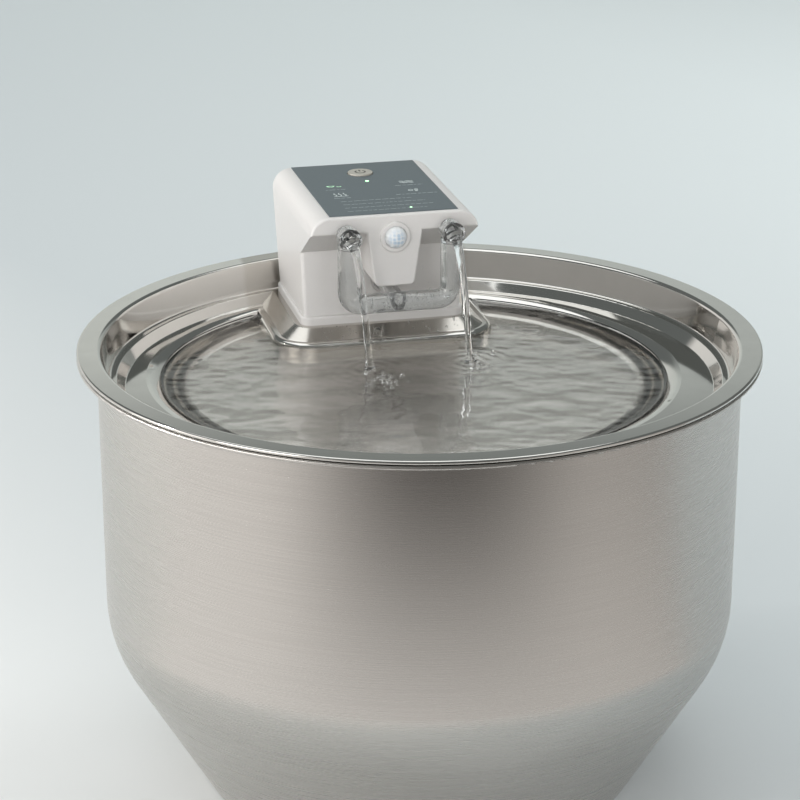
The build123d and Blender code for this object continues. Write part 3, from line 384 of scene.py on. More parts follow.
@dataclass(frozen=True)
class TrayFinish(Finish):
    """Polished sheet whose deep-drawn places, basin floor and platform slope, are left satin from the press;
    there it is also given a darker colour as painted shade.

    Attributes:
        satin_shade_colour: Colour of the satin places, sRGB hex; darker than the polished sheet as painted
            shade.
        floor_rough: Roughness of the satin places.
        floor_z: Height below which the sheet turns satin, in metres.
        floor_fade: Height over which it does so.
        slope_low: |x|, y and z at which the slope begins to turn satin, in metres.
        slope_high: The same where it is fully satin.
    """

    satin_shade_colour: str = "#CBC7C1"
    floor_rough: float = 0.22
    floor_z: float = 0.1838
    floor_fade: float = 0.0015
    slope_low: tuple[float, float, float] = (0.0560, 0.0555, 0.1866)
    slope_high: tuple[float, float, float] = (0.0535, 0.0585, 0.1874)

    def refine(self, tree: bpy.types.NodeTree, shader: bpy.types.Node, place: bpy.types.NodeSocket) -> None:
        """Mix the satin roughness in below floor_z and on the slope, with a darker colour there as painted
        shade.

        Args:
            tree: Node tree of the material.
            shader: Its main shader.
            place: Output that gives the place on the object.
        """
        split = add(tree, "ShaderNodeSeparateXYZ", None, Vector=place)
        low = add(tree, "ShaderNodeMapRange",
                  {"From Min": self.floor_z, "From Max": self.floor_z - self.floor_fade},
                  Value=split.outputs["Z"])
        sides = add(tree, "ShaderNodeVectorMath", {"operation": "ABSOLUTE"}, i0=place)
        aside = add(tree, "ShaderNodeSeparateXYZ", None, Vector=sides.outputs[0])
        sockets = (aside.outputs["X"], split.outputs["Y"], split.outputs["Z"])
        across, along, up = (
            add(tree, "ShaderNodeMapRange", {"From Min": start, "From Max": end}, Value=socket).outputs[0]
            for start, end, socket in zip(self.slope_low, self.slope_high, sockets))
        plan = add(tree, "ShaderNodeMath", {"operation": "MULTIPLY"}, i0=across, i1=along)
        slope = add(tree, "ShaderNodeMath", {"operation": "MULTIPLY"}, i0=plan.outputs[0], i1=up)
        satin = add(tree, "ShaderNodeMath", {"operation": "MAXIMUM"}, i0=low.outputs[0], i1=slope.outputs[0])
        polished = shader.inputs["Base Color"].links[0].from_socket
        # Painted shade: the basin floor and the slope get a darker colour; only their roughness is the satin
        # finish.
        tone = add(tree, "ShaderNodeMix", {"data_type": "RGBA", 7: linear(self.satin_shade_colour)},
                   i0=satin.outputs[0], i6=polished)
        tree.links.new(tone.outputs[2], shader.inputs["Base Color"])
        gloss = shader.inputs["Roughness"].links[0].from_socket
        rough = add(tree, "ShaderNodeMix", {3: self.floor_rough}, i0=satin.outputs[0], i2=gloss)
        tree.links.new(rough.outputs[0], shader.inputs["Roughness"])


# Stainless steel, polished after pressing: mirror-like, with a faint orange peel.
POLISHED_STEEL = TrayFinish("stainless_steel_polished", "#DAD8D4", "#D0CECA", (0.05, 0.10), 0.0,
                            {"Metallic": 1.0}, Grain.ROLLED)


@dataclass(frozen=True)
class LensFinish(Finish):
    """Milky lens with moulded facets: clear-blue in the middle, white towards its rim.

    Attributes:
        centre: Middle of the dome in metres.
        middle: Colour of the middle, sRGB hex.
        reach: Radius in metres over which the middle fades to the rim's colour.
        facet: Width of a facet in metres.
        facet_depth: Depth of the grooves between facets in metres.
    """

    centre: tuple[float, float, float] = (0.0, 0.0455, 0.2388)
    middle: str = "#B6CBDF"
    reach: float = 0.0046
    facet: float = 0.0018
    facet_depth: float = 0.0004

    def refine(self, tree: bpy.types.NodeTree, shader: bpy.types.Node, place: bpy.types.NodeSocket) -> None:
        """Mix the middle colour in between the facets, and groove the facets.

        Args:
            tree: Node tree of the material.
            shader: Its main shader.
            place: Output that gives the place on the object.
        """
        shift = add(tree, "ShaderNodeVectorMath", {"operation": "SUBTRACT", 1: self.centre}, i0=place)
        flat = add(tree, "ShaderNodeVectorMath", {"operation": "MULTIPLY", 1: (1.0, 0.0, 1.0)},
                   i0=shift.outputs[0])
        away = add(tree, "ShaderNodeVectorMath", {"operation": "LENGTH"}, i0=flat.outputs[0])
        cells = add(tree, "ShaderNodeTexVoronoi", {"Scale": 1 / self.facet, "Randomness": 0.35},
                    Vector=flat.outputs[0])
        fade = add(tree, "ShaderNodeMapRange", {"From Min": self.reach * 0.35, "From Max": self.reach},
                   Value=away.outputs["Value"])
        edge = add(tree, "ShaderNodeMapRange", {"From Min": 0.25, "From Max": 0.62},
                   Value=cells.outputs["Distance"])
        either = add(tree, "ShaderNodeMath", {"operation": "MAXIMUM"}, i0=fade.outputs[0], i1=edge.outputs[0])
        white = shader.inputs["Base Color"].links[0].from_socket
        tone = add(tree, "ShaderNodeMix", {"data_type": "RGBA", 6: linear(self.middle)},
                   i0=either.outputs[0], i7=white)
        tree.links.new(tone.outputs[2], shader.inputs["Base Color"])
        relief = add(tree, "ShaderNodeBump", {"Strength": 0.7, "Distance": self.facet_depth},
                     Height=cells.outputs["Distance"])
        tree.links.new(relief.outputs[0], shader.inputs["Normal"])


# Polyethylene, milky, with fine facets moulded in: soft highlight, bluish where it is thin.
MILKY_PE = LensFinish("polyethylene_milky_lens", "#F1F3F4", "#E9EDEF", (0.14, 0.22), 0.002,
                      {"IOR": 1.51, "Transmission Weight": 0.12})


@dataclass(frozen=True)
class ClearFinish:
    """A clear finish: glass-like shader with a fine unevenness of the surface.

    Attributes:
        name: Material's name.
        colour: Tint, sRGB hex.
        ior: Refractive index.
        rough: Roughness.
        wave: Width of the unevenness in millimetres.
        height: Height of the unevenness in millimetres.
        clear: Share of the light that passes; the rest is a faint haze.
    """

    name: str
    colour: str
    ior: float
    rough: float
    wave: float
    height: float
    clear: float = 1.0

    def make(self) -> bpy.types.Material:
        """Build the material.

        Returns:
            The new material.
        """
        material, tree, shader = start_material(self.name)
        for socket, value in {"Base Color": linear(self.colour), "IOR": self.ior, "Roughness": self.rough,
                              "Transmission Weight": self.clear}.items():
            shader.inputs[socket].default_value = value
        place = add(tree, "ShaderNodeTexCoord")
        noise = add(tree, "ShaderNodeTexNoise", {"Scale": 1 / (self.wave * MM), "Detail": 3.0},
                    Vector=place.outputs["Object"])
        relief = add(tree, "ShaderNodeBump", {"Strength": 0.5, "Distance": self.height * MM},
                     Height=noise.outputs["Fac"])
        tree.links.new(relief.outputs[0], shader.inputs["Normal"])
        return material


# Clear copolyester, moulded: slightly wavy inside, so that edges look doubled.
CLEAR_PLASTIC = ClearFinish("copolyester_clear_moulded", "#FAFBFB", 1.52, 0.02, 4.545, 0.10, 0.96)
# Water: no colour at this depth, sharp reflections.
WATER = ClearFinish("water_clear", "#FAFBFB", 1.333, 0.0, 3.846, 0.02)
# Air trapped in the water of the tubes: bright, silvery beads.
AIR = ClearFinish("air_bubble_in_water", "#FFFFFF", 0.75, 0.0, 2.5, 0.0)


def dress(piece: bpy.types.Object, finish: Finish | ClearFinish) -> None:
    """Put a finish on a piece; its material is made once.

    Args:
        piece: Object to dress.
        finish: What it is made of and how it was worked.
    """
    material = bpy.data.materials.get(finish.name) or finish.make()
    piece.data.materials.clear()
    piece.data.materials.append(material)


# --- studio ------------------------------------------------------------------------------------
@dataclass
class Studio:
    """Floor, lamps, world and camera.

    Attributes:
        eye: Camera's place in metres.
        target: Point that the picture's centre is counted from.
        target_px: Where that point lies, right of and above the picture's centre, in pixels.
        focal_px: Focal length in pixels of the 800 pixel picture.
        roll_deg: Camera's roll.
        sensor_mm: Camera's sensor width.
        front: Plan direction from the bowl to the room's open side.
        ceiling: Colour of the ceiling, sRGB hex.
        room: Brightness of walls and ceiling.
        ceiling_rise: Upward parts of a direction between which the walls turn into the ceiling.
        walls: Wall colours round the room: 0 at the back, 0.25 left, 0.5 in front and 0.75 right.
        floor_half: Half the floor's width in metres.
        floor_painted_light: Floor colours by their place along its slant, from the front left to the back
            right; painted light and shade.
        dark_reach: Nearest and farthest place of the dark card from the bowl's axis, in metres.
        dark_sweep: How far the dark card reaches to either side of the front, in degrees.
        dark_blend: Distances from the axis between which its near tones turn into its far ones.
        near_tones: Dark card's colours round the room close to the bowl.
        far_tones: The same farther out.
        pale_radius: Distance of the pale card from the axis.
        pale_sweep: How far the pale card reaches to either side of the front, in degrees.
        pale_heights: Its lower and upper edge in metres.
    """

    eye: tuple[float, float, float] = (-0.2795, -1.1328, 0.5961)
    target: tuple[float, float, float] = (0.0, 0.0, 0.205)
    target_px: tuple[float, float] = (19.28, 60.85)
    focal_px: float = 2800.0
    roll_deg: float = 0.09
    sensor_mm: float = 36.0
    front: tuple[float, float] = (-0.2395, -0.9709)
    ceiling: str = "#636766"
    room: float = 1.2
    ceiling_rise: tuple[float, float] = (0.325, 0.365)
    walls: dict = field(default_factory=lambda: {
        0.0: "#C0C6C2", 1.0: "#BCC2BF", 0.09: "#DAD9D6", 0.25: "#FFFCF9", 0.38: "#F1EDE9", 0.44: "#8A8683",
        0.50: "#524F4D", 0.56: "#585553", 0.60: "#7F7B78", 0.65: "#BBB6B1", 0.75: "#979390", 0.87: "#5A5B59",
    })
    floor_half: float = 40.0
    floor_painted_light: dict = field(default_factory=lambda: {0.0: "#F2F1EF", 1.0: "#DCE3E4", 0.45: "#CED4D6"})
    dark_reach: tuple[float, float] = (0.27, 3.0)
    dark_sweep: float = 88.0
    dark_blend: tuple[float, float] = (0.27, 0.62)
    near_tones: dict = field(default_factory=lambda: {
        0.30: "#F8F6F3", 0.88: "#6A6967", 0.50: "#E6E3E0", 0.72: "#CFCCC8"})
    far_tones: dict = field(default_factory=lambda: {
        0.24: "#F8F6F3", 0.87: "#585755", 0.38: "#F2EEEA", 0.44: "#8E8A87", 0.485: "#4A4745",
        0.55: "#474442", 0.59: "#83807D", 0.64: "#BFBBB7", 0.72: "#AFABA7"})
    pale_radius: float = 2.4
    pale_sweep: float = 62.0
    pale_heights: tuple[float, float] = (-0.2, 4.5)

    def camera(self) -> None:
        """Make the camera: aim at the target, then turn it so that the target lands off the centre."""
        forward = (Vector(self.target) - Vector(self.eye)).normalized()
        right = forward.cross(Vector((0, 0, 1))).normalized()
        up = right.cross(forward)
        shift_x, shift_y = self.target_px
        right, forward = turned(right, forward, math.atan(shift_x / self.focal_px))
        forward, up = turned(forward, up, -math.atan(shift_y / self.focal_px))
        right, up = turned(right, up, math.radians(self.roll_deg))
        data = bpy.data.cameras.new("camera")
        data.sensor_width = self.sensor_mm
        data.lens = self.sensor_mm * self.focal_px / IMAGE_PX
        data.clip_start, data.clip_end = 0.05, 60
        camera = bpy.data.objects.new("camera", data)
        facing = Matrix((right, up, -forward)).transposed().to_4x4()
        camera.matrix_world = Matrix.Translation(self.eye) @ facing
        bpy.context.collection.objects.link(camera)
        bpy.context.scene.camera = camera

    def softbox(self, name: str, place: tuple, aim: tuple, size: tuple, power: float, colour: str,
                mirrored: bool = True) -> None:
        """Hang a rectangular lamp.

        Args:
            name: Lamp's name.
            place: Its centre in metres.
            aim: Point it faces.
            size: Width and height in metres.
            power: Watts.
            colour: sRGB hex.
            mirrored: Show the lamp in reflections; a fill light that stands off to the side of them doesn't.
        """
        data = bpy.data.lights.new(name, "AREA")
        data.shape = "RECTANGLE"
        data.size, data.size_y = size
        data.energy = power
        data.color = linear(colour)[:3]
        lamp = bpy.data.objects.new(name, data)
        lamp.location = place
        lamp.visible_glossy = mirrored
        lamp.rotation_euler = (Vector(aim) - Vector(place)).to_track_quat("-Z", "Y").to_euler()
        bpy.context.collection.objects.link(lamp)

    def around(self, tree: bpy.types.NodeTree, direction: bpy.types.NodeSocket) -> bpy.types.NodeSocket:
        """Turn a direction into its place round the room: 0.5 at the open side in front, more to the right.

        Args:
            tree: Node tree to work in.
            direction: Direction or place as a vector.

        Returns:
            Output that runs from 0 to 1 once round.
        """
        front_x, front_y = self.front
        right = add(tree, "ShaderNodeVectorMath", {"operation": "DOT_PRODUCT", 1: (-front_y, front_x, 0.0)},
                    i0=direction)
        front = add(tree, "ShaderNodeVectorMath", {"operation": "DOT_PRODUCT", 1: (front_x, front_y, 0.0)},
                    i0=direction)
        angle = add(tree, "ShaderNodeMath", {"operation": "ARCTAN2"}, i0=right.outputs["Value"],
                    i1=front.outputs["Value"])
        turn = add(tree, "ShaderNodeMapRange", {"From Min": -math.pi, "From Max": math.pi},
                   Value=angle.outputs[0])
        return turn.outputs[0]

    def shades(self, tree: bpy.types.NodeTree, stops: dict[float, str],
               place: bpy.types.NodeSocket) -> bpy.types.NodeSocket:
        """Blend colours along a value.

        Args:
            tree: Node tree to work in.
            stops: Colours, sRGB hex, by their place from 0 to 1, with the two ends first.
            place: Output that gives the value.

        Returns:
            Output that gives the colour.
        """
        ramp = add(tree, "ShaderNodeValToRGB", None, Fac=place)
        elements = ramp.color_ramp.elements
        for (position, colour), element in zip(stops.items(), (elements[0], elements[1])):
            element.position, element.color = position, linear(colour)
        for position, colour in list(stops.items())[2:]:
            elements.new(position).color = linear(colour)
        return ramp.outputs[0]

    def floor(self) -> None:
        """Lay a wide pale floor whose colour carries painted light and shade: darker in the middle of its
        slant and cooler towards the back right.
        """
        edge = np.linspace(-self.floor_half, self.floor_half, 9)
        y, x = np.meshgrid(edge, edge, indexing="ij")
        grid = np.stack([x, y, 0 * x], axis=-1)
        plane = mesh_object("studio_floor", grid.reshape(-1, 3), net(*x.shape))
        material, tree, shader = start_material("studio_paper_matt")
        place = add(tree, "ShaderNodeTexCoord")
        slant = add(tree, "ShaderNodeVectorMath", {"operation": "DOT_PRODUCT", 1: (0.75, 0.25, 0.0)},
                    i0=place.outputs["Object"])
        fade = add(tree, "ShaderNodeMapRange", {"From Min": -0.35, "From Max": 0.75},
                   Value=slant.outputs["Value"])
        # Painted light and shade: the floor's colour is brightest at the front left, and darker and cooler
        # towards the back right.
        tree.links.new(self.shades(tree, self.floor_painted_light, fade.outputs[0]), shader.inputs["Base Color"])
        shader.inputs["Roughness"].default_value = 0.9
        shader.inputs["Specular IOR Level"].default_value = 0.1
        plane.data.materials.append(material)

    def card(self, name: str, radius: np.ndarray, angle: np.ndarray, height: np.ndarray, ray: str,
             strength: float) -> tuple[bpy.types.NodeTree, bpy.types.Node]:
        """Place a glowing card out of shot that one kind of ray sees: r (cos a front + sin a right), height.

        Args:
            name: Card's name.
            radius: Distances from the bowl's axis, on a grid of two parameters.
            angle: Angles from the front, in radians, on the same grid.
            height: Heights on the same grid.
            ray: The one kind of ray that sees the card.
            strength: Strength of its glow.

        Returns:
            The card's node tree and the node that glows.
        """
        front_x, front_y = self.front
        front, right = np.array([front_x, front_y, 0.0]), np.array([-front_y, front_x, 0.0])
        grid = radius[..., None] * (np.cos(angle)[..., None] * front + np.sin(angle)[..., None] * right)
        grid[..., 2] = height
        card = mesh_object(name, grid.reshape(-1, 3), net(*radius.shape))
        for kind in RAYS:
            setattr(card, f"visible_{kind}", kind == ray)
        material, tree, shader = start_material(f"{name}_matt")
        tree.nodes.remove(shader)
        glow = add(tree, "ShaderNodeEmission", {"Strength": strength})
        tree.links.new(glow.outputs[0], tree.nodes["Material Output"].inputs["Surface"])
        card.data.materials.append(material)
        return tree, glow

    def dark_card(self) -> None:
        """Lay a card on the floor in front, dark in its middle, that only the steel's reflections see."""
        sweep = np.radians(np.linspace(-self.dark_sweep, self.dark_sweep, 45))
        angle, radius = np.meshgrid(sweep, np.linspace(*self.dark_reach, 24), indexing="ij")
        just_above = np.full(radius.shape, 0.0004)
        tree, glow = self.card("studio_dark_card", radius, angle, just_above, "glossy", 1.12)
        place = add(tree, "ShaderNodeTexCoord")
        turn = self.around(tree, place.outputs["Object"])
        far, near = (self.shades(tree, tones, turn) for tones in (self.far_tones, self.near_tones))
        away = add(tree, "ShaderNodeVectorMath", {"operation": "LENGTH"}, i0=place.outputs["Object"])
        start, end = self.dark_blend
        fade = add(tree, "ShaderNodeMapRange", {"From Min": start, "From Max": end},
                   Value=away.outputs["Value"])
        tone = add(tree, "ShaderNodeMix", {"data_type": "RGBA"}, i0=fade.outputs[0], i6=near, i7=far)
        tree.links.new(tone.outputs[2], glow.inputs["Color"])

    def pale_card(self) -> None:
        """Stand a pale card round the front that only shows through water and clear plastic."""
        sweep = np.radians(np.linspace(-self.pale_sweep, self.pale_sweep, 31))
        angle, height = np.meshgrid(sweep, np.linspace(*self.pale_heights, 12), indexing="ij")
        radius = np.full(angle.shape, self.pale_radius)
        _, glow = self.card("studio_pale_card", radius, angle, height, "transmission", 1.0)
        glow.inputs["Color"].default_value = linear("#E9EBEA")

    def world(self) -> None:
        """Light the room softly: pale walls, a darker open side in front, a calm ceiling."""
        world = bpy.data.worlds.new("studio")
        bpy.context.scene.world = world
        world.use_nodes = True
        tree = world.node_tree
        background = tree.nodes["Background"]
        place = add(tree, "ShaderNodeTexCoord")
        split = add(tree, "ShaderNodeSeparateXYZ", None, Vector=place.outputs["Generated"])
        walls = self.shades(tree, self.walls, self.around(tree, place.outputs["Generated"]))
        start, end = self.ceiling_rise
        rise = add(tree, "ShaderNodeMapRange", {"From Min": start, "From Max": end}, Value=split.outputs["Z"])
        ceiling = add(tree, "ShaderNodeMix", {"data_type": "RGBA", 7: linear(self.ceiling)},
                      i0=rise.outputs[0], i6=walls)
        tree.links.new(ceiling.outputs[2], background.inputs["Color"])
        background.inputs["Strength"].default_value = self.room

    def build(self) -> None:
        """Set up the whole studio."""
        bpy.context.scene.view_settings.view_transform = "Standard"
        self.camera()
        self.floor()
        self.dark_card()
        self.pale_card()
        self.world()
        middle = (0, 0, 0.15)
        self.softbox("key_left", (-1.75, -0.82, 0.78), middle, (1.0, 1.0), 8.3, "#FFFDFB")
        self.softbox("side_left", (-1.95, 0.33, 0.75), middle, (1.2, 1.1), 4, "#FFFDFB")
        self.softbox("strip_left", (-1.5, 0.26, 0.45), (0, 0, 0.1), (0.05, 0.8), 6, "#FFFDFB")
        self.softbox("top", (0.0, 0.5, 2.4), (0, 0, 0.2), (2.3, 2.4), 25, "#FAFCFC")
        self.softbox("backdrop", (-0.4, 3.8, 2.8), (-0.4, 4.0, 0), (5.0, 3.0), 64, "#F6FBFB", False)
        self.softbox("side_right", (1.7, 0.7, 0.8), (0, 0.1, 0.2), (1.0, 1.0), 12, "#FFFFFF", False)
        self.softbox("front_fill", (-0.6, -2.4, 0.9), middle, (2.4, 1.6), 44, "#FFFFFF", False)


# --- pieces that keep their own shape ------------------------------------------------------------
@dataclass
class Dressed:
    """A sub-assembly whose nodes are shown as they are, each in its finish.

    Attributes:
        finishes: Finish of each node.
    """

    finishes: dict[str, Finish | ClearFinish]

    def build(self) -> list[str]:
        """Dress the nodes.

        Returns:
            Names of the dressed pieces.
        """
        for name, finish in self.finishes.items():
            dress(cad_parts[name], finish)
        return list(self.finishes)


STEEL_WARE = Dressed({"reservoir_bowl": BRUSHED_STEEL, "drinking_tray": POLISHED_STEEL})
PUMP_MODULE = Dressed({
    "main_shell": WHITE_ABS, "base_plate": WHITE_ABS, "housing_seal": SILICONE,
    "housing_screws": PLATED_STEEL, "control_panel": PANEL_FILM, "power_button": BUTTON_PAINT,
    "tact_switch": BLACK_ABS, "status_lights": LIT_GUIDE, "main_board": BOARD, "sensor_ring": WHITE_ABS,
    "sensor_lens": MILKY_PE, "motion_sensor": PLATED_STEEL, "sensor_board": BOARD,
    "battery_cells": SHRINK_SLEEVE, "battery_tray": BLACK_ABS, "charging_port": PLATED_STEEL,
    "port_flap": WHITE_RUBBER, "outlet_fitting": WHITE_ABS, "outlet_seal": SILICONE,
    "outlet_hose": SILICONE, "manifold": CLEAR_PLASTIC, "spout_left": CLEAR_PLASTIC,
    "spout_right": CLEAR_PLASTIC, "pump_column": WHITE_ABS, "pump_body": BLACK_ABS,
    "pump_stator": COPPER_COIL, "impeller": FERRITE, "impeller_shaft": CERAMIC,
    "pump_cover": BLACK_ABS, "filter_drawer": WHITE_ABS, "filter_sponge": FOAM,
    "filter_cartridge": FILTER_CLOTH,
})


# --- water -------------------------------------------------------------------------------------
@dataclass
class Ripples:
    """Height of the water's ripples: many small seeded waves and faint rings round the jets' landings.

    Attributes:
        seed: Seed of the waves.
        count: Number of waves.
        shortest: Shortest wave length in metres.
        longest: Longest wave length in metres.
        growth: How fast a wave's height grows with its length, as a power.
        height: Height of the whole in metres.
        heading: Direction that the jets send the waves, in radians.
        spread: How far the waves' direction strays from it, in radians.
        ring_height: Height of the rings at a landing.
        ring_length: Distance from ring to ring.
        ring_reach: Distance over which the rings die out.
        mound_height: Height of the water thrown up at a landing.
        mound_radius: Radius of that mound.
    """

    seed: int = 11
    count: int = 60
    shortest: float = 0.005
    longest: float = 0.030
    growth: float = 1.1
    height: float = 0.0000672
    heading: float = -math.pi / 2 - 0.24
    spread: float = 0.85
    ring_height: float = 0.00016
    ring_length: float = 0.0052
    ring_reach: float = 0.009
    mound_height: float = 0.0008
    mound_radius: float = 0.0021

    def at(self, x: np.ndarray, y: np.ndarray, landings: tuple) -> np.ndarray:
        """Sum a sin(k.(x, y) + p) over the waves, plus rings a cos(k r) exp(-r / l) and a mound per landing.

        Args:
            x: Places across.
            y: Places along.
            landings: Where the jets meet the water.

        Returns:
            Heights in metres, same shape as x.
        """
        random = np.random.default_rng(self.seed)
        length = self.shortest * (self.longest / self.shortest) ** random.random(self.count)
        angle = self.heading + self.spread * random.normal(size=self.count)
        phase = random.random(self.count) * 2 * np.pi
        weight = (length / self.longest) ** self.growth
        weight *= self.height / np.sqrt((weight ** 2).sum())
        total = np.zeros_like(x)
        for size, turn, start, share in zip(length, angle, phase, weight):
            number = 2 * np.pi / size
            total += share * np.sin(number * (x * np.cos(turn) + y * np.sin(turn)) + start)
        for landing_x, landing_y in landings:
            away = np.hypot(x - landing_x, y - landing_y)
            rings_here = np.cos(2 * np.pi * away / self.ring_length) * np.exp(-away / self.ring_reach)
            total += self.ring_height * rings_here
            total += self.mound_height * np.exp(-(away / self.mound_radius) ** 2)
        return total


@dataclass
class Water:
    """Water in the basin and in the tubes, the two jets, their splashes and stray drops.

    Attributes:
        level: Height of the surface in metres.
        radius: Radius of the water's edge.
        middle_y: Middle of the basin.
        boss_half: Half width of the platform's lip.
        boss_front: Front of that lip.
        boss_corner: Radius of the lip's corners.
        floor: Height of the basin's floor.
        landings: Where the jets meet the water.
        tube_x: Upright tubes' place left and right of the middle.
        tube_y: Tubes' place along.
        pipe_z: Height of the cross pipe.
        spout_z: Height of the spouts.
        bend: Radius of the tubes' bends.
        bore: Radius of the tubes' water, a hair more than their bore, so that no film of air is left.
        mouth_y: Front of the spouts.
        mouth: Radius of the spouts' water.
        bore_end_y: Back of the spouts' bore, and a hair more.
        shore: Distance in from the water's edge over which the steel slopes down to the basin's floor.
        sunk: How far the water's bottom goes into the steel, so that no film of air is left.
        calm: Distance from an edge over which the ripples grow.
        meniscus: How far the water climbs at its edges.
        meniscus_reach: Distance over which it falls back.
        stream: Radius of a jet where it leaves its spout.
        dip: How far a jet sinks at once as it leaves.
        foot: How much a jet widens where it lands.
        drift: Where each splash lies from its landing.
        scatter: Spread of a splash across and along.
    """

    level: float = 0.1853
    radius: float = 0.1124
    middle_y: float = 0.0105
    boss_half: float = 0.0512
    boss_front: float = 0.0567
    boss_corner: float = 0.0172
    floor: float = 0.1745
    landings: tuple = ((-0.0174, 0.0215), (0.0285, 0.0203))
    tube_x: float = 0.0237
    tube_y: float = 0.0380
    pipe_z: float = 0.2105
    spout_z: float = 0.2425
    bend: float = 0.0060
    bore: float = 0.00316
    mouth_y: float = 0.0314
    mouth: float = 0.00376
    bore_end_y: float = 0.04116
    shore: float = 0.0130
    sunk: float = 0.00045
    calm: float = 0.004
    meniscus: float = 0.0007
    meniscus_reach: float = 0.0012
    stream: float = 0.00225
    dip: float = 0.0012
    foot: float = 0.0011
    drift: tuple = ((0.0030, -0.0150), (0.0030, -0.0060))
    scatter: tuple[float, float] = (0.0036, 0.0052)

    def shoreline(self, count: int) -> tuple[np.ndarray, np.ndarray]:
        """Work out matched points along the platform's lip and along the basin's edge.

        The lip runs down its right side, round the front and up its left side; the edge runs the long way
        round, and both start and end where the lip meets the edge.

        Args:
            count: Points on each line.

        Returns:
            Lip points and edge points, shape (count, 2).
        """
        top = self.middle_y + math.sqrt(self.radius ** 2 - self.boss_half ** 2)
        corner, half, front = self.boss_corner, self.boss_half, self.boss_front
        quarter = np.linspace(0, np.pi / 2, 16)
        right = np.stack([half - corner + corner * np.cos(quarter),
                          front + corner - corner * np.sin(quarter)], axis=1)
        line = np.vstack([[[half, top]], right, right[::-1] * [-1, 1], [[-half, top]]])
        step = np.r_[0, np.cumsum(np.linalg.norm(np.diff(line, axis=0), axis=1))]
        share = np.linspace(0, 1, count)
        lip = np.stack([np.interp(share * step[-1], step, line[:, i]) for i in (0, 1)], axis=1)
        start = math.atan2(top - self.middle_y, half)
        angle = start - share * (2 * np.pi - (np.pi - 2 * start))
        edge = np.stack([self.radius * np.cos(angle), self.middle_y + self.radius * np.sin(angle)], axis=1)
        return lip, edge

    def bed(self, places: np.ndarray) -> np.ndarray:
        """Measure the height of the tray's steel straight in front, on the tray itself.

        Args:
            places: Distances in from the water's edge, in metres.

        Returns:
            Heights in metres, same shape as places.
        """
        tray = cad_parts["drinking_tray"]
        steel = BVHTree.FromPolygons([tray.matrix_world @ vertex.co for vertex in tray.data.vertices],
                                     [tuple(face.vertices) for face in tray.data.polygons])
        down = Vector((0.0, 0.0, -1.0))
        spots = [Vector((0.0, self.middle_y - self.radius + place, 1.0)) for place in places]
        return np.array([steel.ray_cast(spot, down)[0].z for spot in spots])

    def own(self, piece: bpy.types.Object, body: str, finish: ClearFinish = WATER) -> bpy.types.Object:
        """Fix a piece to its body and give it its finish.

        Args:
            piece: New piece.
            body: Body that it moves with.
            finish: Its finish.

        Returns:
            The piece.
        """
        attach(piece, body)
        dress(piece, finish)
        return piece

    def pool(self) -> bpy.types.Object:
        """Make the basin's water: a rippled top and a bottom just inside the steel.

        The top is lip + v (edge - lip) for v from 0 to 1, raised by the ripples and by a meniscus at both
        lines. The bottom is the same plan on the steel's own profile, half a sheet deeper.

        Returns:
            The new piece.
        """
        count, rows, low_rows, stations = 520, 130, 44, 18
        lip, edge = self.shoreline(count)
        width = np.linalg.norm(edge - lip, axis=1)[:, None]
        # Rows lie closer together towards both lines.
        share = (1 - np.cos(np.linspace(0, np.pi, rows))) / 2 * 0.6 + np.linspace(0, 1, rows) * 0.4
        low_share = (1 + np.cos(np.linspace(0, np.pi, low_rows)))[1:-1] / 2
        plan, low_plan = (lip[:, None] + part[None, :, None] * (edge - lip)[:, None]
                          for part in (share, low_share))
        from_edge = np.minimum(share[None], 1 - share[None]) * width
        ripples = Ripples().at(plan[..., 0], plan[..., 1], self.landings)
        room = np.minimum(1, width / self.calm)
        climb = self.meniscus * np.exp(-from_edge / self.meniscus_reach) * room
        top = self.level + ripples * (1 - np.exp(-from_edge / self.calm)) + climb
        inset = self.radius - np.hypot(low_plan[..., 0], low_plan[..., 1] - self.middle_y)
        places = np.linspace(0, self.shore, stations)
        at_edge = np.interp(inset, places, self.bed(places)) - self.sunk
        wall, below = 0.0004, 0.0003        # run of the lip's wall, and how far under the floor it leads
        fall = np.clip(low_share[None] * width / wall, 0, 1)
        at_lip = self.level - (self.level - self.floor + below) * fall
        upper = np.concatenate([plan, top[..., None]], axis=-1)
        lower = np.concatenate([low_plan, np.maximum(at_edge, at_lip)[..., None]], axis=-1)
        grid = np.concatenate([upper, lower], axis=1)
        points, faces = rings(grid, grid[[0, -1]].mean(axis=1))
        outward = [face[::-1] for face in faces]
        return self.own(mesh_object("basin_water", points, outward), "tray")

    def fill(self) -> bpy.types.Object:
        """Fill the cross pipe and both upright tubes: one U-shaped path with round bends.

        Returns:
            The new piece.
        """
        x, bend, low, high = self.tube_x, self.bend, self.pipe_z, self.spout_z - 0.003
        quarter = np.linspace(0, np.pi / 2, 12)
        arc_x, arc_z = x - bend + bend * np.cos(quarter), low + bend - bend * np.sin(quarter)
        riser = np.linspace(high, low + bend, 24)[:-1]
        half_x = np.r_[np.full(len(riser), x), arc_x, np.linspace(x - bend, 0, 30)[1:]]
        half_z = np.r_[riser, arc_z, np.full(29, low)]
        path_x, path_z = np.r_[-half_x, half_x[::-1][1:]], np.r_[half_z, half_z[::-1][1:]]
        path = np.stack([path_x, np.full(len(path_x), self.tube_y), path_z], axis=1)
        points, faces = tube_along(path, np.full(len(path), self.bore), 28, side=(0.0, 1.0, 0.0))
        return self.own(mesh_object("tube_water", points, faces), "water_divider")

